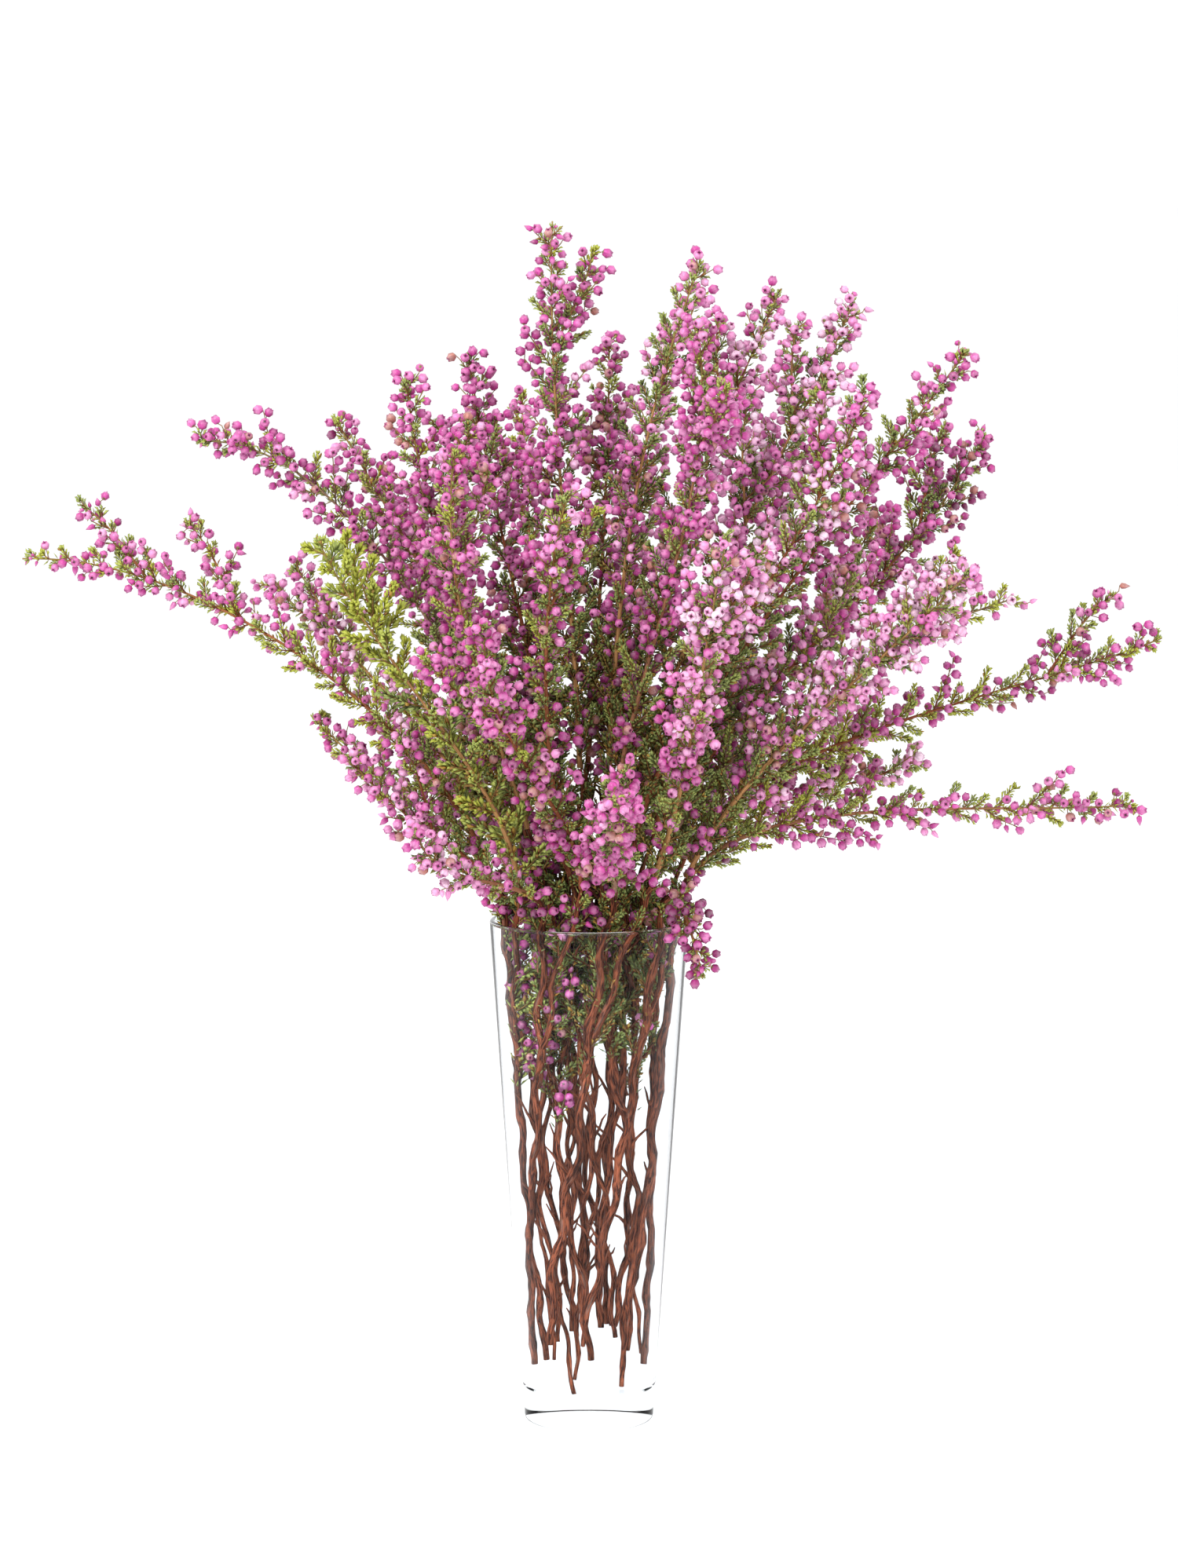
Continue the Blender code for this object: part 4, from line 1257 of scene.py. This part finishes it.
@functools.cache
def bell_material():
    """Waxy petals with a painted sheen that pales them towards the neck, painted shade that darkens the mouth,
    and greenish where they meet the stalk.
    """
    looks = bpy.context.scene.heather_bells
    made, tree, shader = new_material("heather_bell", sheen=0.40)
    cell = read_cell(tree, "bell")
    petal = mottled(tree, ramp(tree, cell.outputs["Tint"], BELL_COLOURS), cell.outputs["Around"], 1.6, 0.45)
    along = cell.outputs["Along"]
    # Painted sheen: the petals turn paler towards the neck, standing for light on the wax.
    painted_sheen = mixed(tree, map_range(tree, along, 0.30, 0.75, 0.0, 0.15), petal.outputs["Colour"], (0.9, 0.72, 0.84))
    with_calyx = mixed(tree, map_range(tree, along, 0.05, 0.13, 1.0, 0.0), painted_sheen, looks.calyx[:])
    with_ring = mixed(
        tree, map_range(tree, along, 0.74, 0.82, 0.0, 0.6), with_calyx, (0.42, 0.03, 0.22)
    )
    # Painted shade: the inside of the mouth is darkened to stand for the hollow's shadow.
    with_mouth_shade = mixed(tree, map_range(tree, along, 0.86, 0.93), with_ring, looks.mouth[:])
    join(tree, with_mouth_shade, shader.inputs["Base Color"])
    join(tree, map_range(tree, petal.outputs["Mask"], 0.0, 1.0, 0.26, 0.42), shader.inputs["Roughness"])
    return made


@functools.cache
def leaf_material():
    """Needles, paler towards the tip."""
    made, tree, shader = new_material("heather_leaf", sheen=0.12)
    cell = read_cell(tree, "leaf")
    green = mottled(tree, ramp(tree, cell.outputs["Tint"], LEAF_COLOURS), cell.outputs["Around"], 2.4, 0.5)
    tip = mixed(
        tree, map_range(tree, cell.outputs["Along"], 0.35, 1.0, 0.0, 0.30), green.outputs["Colour"],
        (0.36, 0.42, 0.10),
    )
    join(tree, tip, shader.inputs["Base Color"])
    join(tree, map_range(tree, green.outputs["Mask"], 0.0, 1.0, 0.45, 0.65), shader.inputs["Roughness"])
    return made


@functools.cache
def twig_material():
    """Thin bark, green towards a twig's end."""
    made, tree, shader = new_material("heather_twig", sheen=0.10)
    cell = read_cell(tree, "twig")
    bark = mottled(tree, ramp(tree, cell.outputs["Tint"], TWIG_COLOURS), cell.outputs["Around"], 6.0, 0.8)
    green = mixed(
        tree, map_range(tree, cell.outputs["Along"], 0.55, 1.0, 0.0, 0.55), bark.outputs["Colour"],
        (0.22, 0.22, 0.05),
    )
    join(tree, green, shader.inputs["Base Color"])
    shader.inputs["Roughness"].default_value = 0.7
    return made


@functools.cache
def bark_material():
    """Red-brown bark with dark grooves, partly painted shade, and grey flakes, drawn out along the stem."""
    looks = bpy.context.scene.heather_wood
    made, tree, shader = new_material("heather_bark", sheen=0.10)
    grain = new_node(tree, "ShaderNodeUVMap", uv_map="grain")
    split = new_node(tree, "ShaderNodeSeparateXYZ")
    join(tree, grain.outputs[0], split.inputs[0])
    angle = maths(tree, "MULTIPLY", split.outputs[0], 2 * math.pi)
    circle = new_node(tree, "ShaderNodeCombineXYZ")
    join(tree, maths(tree, "COSINE", angle), circle.inputs[0])
    join(tree, maths(tree, "SINE", angle), circle.inputs[1])
    join(tree, split.outputs[1], circle.inputs[2])
    fibres = new_node(tree, "ShaderNodeTexNoise")
    fibres.inputs["Scale"].default_value = 2.2
    fibres.inputs["Detail"].default_value = 5.0
    fibres.inputs["Distortion"].default_value = 0.6
    join(tree, circle.outputs[0], fibres.inputs["Vector"])
    # The grooves' dark colour is partly the bark's own and partly painted shade in the recesses that the bump
    # makes.
    grooves = map_range(tree, fibres.outputs["Fac"], 0.40, 0.60)
    flat = mixed(tree, grooves, looks.dark_bark[:], looks.bark[:])
    shades = mottled(tree, flat, circle.outputs[0], 0.35, 1.1)
    patches = new_node(tree, "ShaderNodeTexNoise")
    patches.inputs["Scale"].default_value = 0.9
    patches.inputs["Detail"].default_value = 6.0
    join(tree, circle.outputs[0], patches.inputs["Vector"])
    flakes = map_range(tree, patches.outputs["Fac"], 0.58, 0.72, 0.0, 0.45)
    join(tree, mixed(tree, flakes, shades.outputs["Colour"], looks.grey_bark[:]), shader.inputs["Base Color"])
    join(tree, map_range(tree, grooves, 0.0, 1.0, 0.85, 0.62), shader.inputs["Roughness"])
    bump = new_node(tree, "ShaderNodeBump")
    bump.inputs["Strength"].default_value = 0.6
    bump.inputs["Distance"].default_value = 0.0006
    join(tree, fibres.outputs["Fac"], bump.inputs["Height"])
    join(tree, bump.outputs[0], shader.inputs["Normal"])
    return made


@functools.cache
def cut_material():
    """Wood at a cut end."""
    looks = bpy.context.scene.heather_wood
    made, tree, shader = new_material("heather_cut_wood", sheen=0.10)
    grain = new_node(tree, "ShaderNodeUVMap", uv_map="grain")
    noise = new_node(tree, "ShaderNodeTexNoise")
    noise.inputs["Scale"].default_value = 9.0
    join(tree, grain.outputs[0], noise.inputs["Vector"])
    colour = mixed(tree, map_range(tree, noise.outputs["Fac"], 0.3, 0.7), looks.cut[:], looks.bark[:])
    join(tree, colour, shader.inputs["Base Color"])
    shader.inputs["Roughness"].default_value = 0.8
    return made


def glass_material(name, bending, sheen):
    """Clear glass that lets the light through to what stands in it."""
    looks = bpy.context.scene.heather_vase
    made, tree, shader = new_material(name, sheen)
    shader.inputs["Base Color"].default_value = (*looks.glass, 1)
    shader.inputs["Roughness"].default_value = looks.roughness
    shader.inputs["Transmission Weight"].default_value = 1.0
    shader.inputs["IOR"].default_value = bending
    through = new_node(tree, "ShaderNodeBsdfTransparent")
    through.inputs[0].default_value = (*looks.shade, 1)
    path = new_node(tree, "ShaderNodeLightPath")
    mix = new_node(tree, "ShaderNodeMixShader")
    join(tree, path.outputs["Is Shadow Ray"], mix.inputs[0])
    join(tree, shader.outputs[0], mix.inputs[1])
    join(tree, through.outputs[0], mix.inputs[2])
    join(tree, mix.outputs[0], tree.nodes["Material Output"].inputs["Surface"])
    return made


def arc(centre, radius, start, end, steps):
    """Points on a round edge of the vase's profile, between two angles in degrees."""
    found = []
    for i in range(steps + 1):
        angle = math.radians(start + (end - start) * i / steps)
        found.append((centre[0] + radius * math.cos(angle), centre[1] + radius * math.sin(angle)))
    return found


class HEATHER_OT_vase(bpy.types.Operator):
    """The turned glass vase with its thick base and its rounded rim"""

    bl_idname = "heather.vase"
    bl_label = "Add vase"

    def execute(self, context):
        looks = context.scene.heather_vase
        steps = looks.edge_steps
        floor_radius = vase_radius(BASE_THICKNESS) - WALL
        rim_middle = (RIM_RADIUS - WALL / 2 - RIM_INSET, VASE_HEIGHT - WALL / 2)
        profile = [(0.0, FOOT_HOLLOW)]
        profile += arc((FOOT_RADIUS - FOOT_EDGE, FOOT_EDGE), FOOT_EDGE, -90, 0, steps)
        profile += arc(rim_middle, WALL / 2 - RIM_INSET, 0, 180, 2 * steps)
        profile += arc((floor_radius - INNER_EDGE, BASE_THICKNESS + INNER_EDGE), INNER_EDGE, 0, -90, steps)
        profile += [(0.0, BASE_THICKNESS)]
        last = len(profile) - 1
        form = turned([(x, z, i / last) for i, (x, z) in enumerate(profile)], looks.sides)
        on_rim = form.points[form.corners][..., 2].min(axis=1) > VASE_HEIGHT - WALL
        glass = [
            glass_material("clear_glass", looks.bending, 0.5),
            glass_material("rim_glass", looks.rim_bending, 1.0),
        ]
        finishes = on_rim.astype(np.int32)
        vase = mesh_piece(
            "vase_of_clear_glass", form.points, form.corners, form.places, finishes, glass, MAP_NAME
        )
        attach(vase, BODY)
        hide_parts("glass_vase")
        return {"FINISHED"}


def looks_share(stem):
    """The range of a stem's thickness, a share of its solid's: the outer stems are the stoutest."""
    return {"outer": (0.50, 0.92), "middle": (0.46, 0.82), "inner": (0.44, 0.74)}[stem.ring.name]


def stem_piece(stem, looks):
    """One stem with its second branch: twisted ridges, knots and short stubs."""
    draw = random.Random(stem.name)
    points, corners, places, finishes, count = [], [], [], [], 0
    own_share = draw.uniform(*looks_share(stem))
    for branch in stem.branches:
        main = branch is stem.branches[0]
        path = spread_out(branch.inside() + branch.wood()[1:], looks.step)
        length = running_lengths(path)[-1]
        phase, turns, offset = draw.uniform(0, 6), draw.uniform(60, 110), draw.uniform(0, 50)
        knots = []
        at = draw.uniform(0.004, looks.knot_gap)
        while at < length:
            knots.append(at)
            at += looks.knot_gap * draw.uniform(0.5, 1.5)
        slim = own_share if main else own_share * FORK_SHARE
        radii, bent = [], []
        for i, place in enumerate(path):
            at = length * i / (len(path) - 1)
            above = max(0.0, (place - path[-1]).length)
            radius = stem.radius(min(place.z, VASE_HEIGHT)) * slim * (0.70 + 0.30 * min(place.z / 0.14, 1.0))
            wood = stem.ring.wood_above
            if above < wood:
                end = STEM_RADIUS * END_SHARE * slim
                radius = end + (radius - end) * above / wood
            swell = sum(math.exp(-(((at - knot) / 0.0022) ** 2)) for knot in knots)
            radii.append(radius * (0.92 + looks.knot * min(swell, 1.0)))
            wave = Vector((math.sin(at * 190 + phase), math.cos(at * 233 + phase * 2), 0))
            outward = Vector((place.x, place.y, 0)).normalized()
            wave -= outward * max(0.0, wave.dot(outward))
            fade = min(1.0, at / 0.01, above / 0.01)
            bent.append(place + wave * looks.wander * fade)

        def ridge(ring, angle):
            twist = turns * ring * looks.step
            fine = math.sin(5 * angle - 1.7 * twist + phase)
            return 1 + looks.ridge * (0.65 * math.sin(2 * angle + twist + phase) + 0.35 * fine)

        form = tube(bent, radii, looks.sides, (offset, offset + length / 0.010), ridge)
        points.append(form.points)
        corners.append(form.corners + count)
        places.append(form.places)
        finish = np.zeros(len(form.corners), np.int32)
        if main:
            finish[-2 * looks.sides :: 2] = 1
        finishes.append(finish)
        count += len(form.points)
        for knot in knots[1:-1]:
            if draw.random() < 0.75:
                root = point_at(bent, running_lengths(bent), knot)
                out = turned_away(Vector((0, 0, 1)), draw.uniform(0.3, 0.9), draw.uniform(0, 6.3))
                reach = draw.uniform(0.004, 0.024)
                kink = turned_away(out, 0.35, draw.uniform(0, 6.3))
                way = [root + out * reach * 0.4, root + out * reach * 0.4 + kink * reach * 0.35]
                way.append(way[-1] + out * reach * 0.25)
                if not all(clear_of_glass(place, 0.0008) for place in way):
                    continue
                stub = tube([root, *way], [0.0009, 0.00055, 0.00045, 0.00025],
                            5, (offset, offset + reach / 0.010))
                points.append(stub.points)
                corners.append(stub.corners + count)
                places.append(stub.places)
                finishes.append(np.zeros(len(stub.corners), np.int32))
                count += len(stub.points)
    return mesh_piece(
        f"wood_{stem.ring.name}_{stem.number}",
        np.concatenate(points), np.concatenate(corners), np.concatenate(places), np.concatenate(finishes),
        [bark_material(), cut_material()], "grain",
    )


class HEATHER_OT_stems(bpy.types.Operator):
    """The woody stems, with their bark, forks, knots and cut ends"""

    bl_idname = "heather.stems"
    bl_label = "Add stems"

    def execute(self, context):
        for stem in bunch()[0]:
            piece = stem_piece(stem, context.scene.heather_wood)
            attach(piece, BODY)
            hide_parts(stem.name)
        return {"FINISHED"}


class HEATHER_OT_sprays(bpy.types.Operator):
    """The sprays: twigs, needle leaves and bells round each axis"""

    bl_idname = "heather.sprays"
    bl_label = "Add sprays"

    def execute(self, context):
        bells, leaves = context.scene.heather_bells, context.scene.heather_leaves
        crowd = Crowd(bells.apart)
        materials = [bell_material(), leaf_material(), twig_material()]
        for branch in bunch()[1]:
            growth = Grower(branch, crowd, bells, leaves).grow()
            piece = growth.piece(f"heather_{branch.name}", materials)
            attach(piece, BODY)
            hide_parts(f"spray_{branch.name}")
        return {"FINISHED"}


class HEATHER_OT_stage(bpy.types.Operator):
    """The pale floor, the soft lights and the camera"""

    bl_idname = "heather.stage"
    bl_label = "Add stage"

    def execute(self, context):
        looks, scene = context.scene.heather_stage, context.scene
        floor_mesh = bpy.data.meshes.new("floor")
        shape = bmesh.new()
        bmesh.ops.create_grid(shape, x_segments=1, y_segments=1, size=400.0)
        shape.to_mesh(floor_mesh)
        shape.free()
        floor = bpy.data.objects.new("floor", floor_mesh)
        scene.collection.objects.link(floor)
        made, tree, shader = new_material("pale_floor")
        shader.inputs["Base Color"].default_value = (*looks.floor, 1)
        shader.inputs["Roughness"].default_value = 0.9
        floor_mesh.materials.append(made)
        world = bpy.data.worlds.new("white_surround")
        world.use_nodes = True
        background = world.node_tree.nodes["Background"]
        background.inputs["Color"].default_value = (1, 1, 1, 1)
        background.inputs["Strength"].default_value = looks.sky
        scene.world = world
        for name, power, place, size in (
            ("key", looks.key, (-0.9, -1.5, 1.7), 1.2),
            ("fill", looks.fill, (1.6, -0.9, 0.9), 1.0),
        ):
            lamp = bpy.data.lights.new(name, "AREA")
            lamp.energy, lamp.size = power, size
            holder = bpy.data.objects.new(name, lamp)
            holder.location = place
            aim = Vector((0, 0, 0.25)) - holder.location
            holder.rotation_euler = aim.to_track_quat("-Z", "Y").to_euler()
            scene.collection.objects.link(holder)
        data = bpy.data.cameras.new("camera")
        data.lens, data.sensor_width = looks.lens, 36.0
        camera = bpy.data.objects.new("camera", data)
        camera.location = (0, -looks.distance, looks.height)
        camera.rotation_euler = (math.pi / 2 - looks.pitch, 0, 0)
        scene.collection.objects.link(camera)
        scene.camera = camera
        scene.view_settings.view_transform = "Standard"
        return {"FINISHED"}


class HEATHER_PT_panel(bpy.types.Panel):
    """The steps in order"""

    bl_label = "Heather"
    bl_space_type = "VIEW_3D"
    bl_region_type = "UI"
    bl_category = "Heather"

    def draw(self, context):
        for step in STEPS:
            self.layout.operator(step.bl_idname)


STEPS = (HEATHER_OT_vase, HEATHER_OT_stems, HEATHER_OT_sprays, HEATHER_OT_stage)
LOOKS = {
    "heather_vase": VaseLooks,
    "heather_wood": WoodLooks,
    "heather_bells": BellLooks,
    "heather_leaves": LeafLooks,
    "heather_stage": StageLooks,
}


def register():
    """Registers the classes and puts the looks on the scene."""
    for group in (*LOOKS.values(), *STEPS, HEATHER_PT_panel):
        bpy.utils.register_class(group)
    for name, group in LOOKS.items():
        setattr(bpy.types.Scene, name, PointerProperty(type=group))


def unregister():
    """Takes it all off again."""
    for name in LOOKS:
        delattr(bpy.types.Scene, name)
    for group in (*LOOKS.values(), *STEPS, HEATHER_PT_panel):
        bpy.utils.unregister_class(group)


def main():
    """Builds everything."""
    register()
    bpy.ops.heather.vase()
    bpy.ops.heather.stems()
    bpy.ops.heather.sprays()
    bpy.ops.heather.stage()
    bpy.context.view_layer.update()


if __name__ == "__main__":
    main()
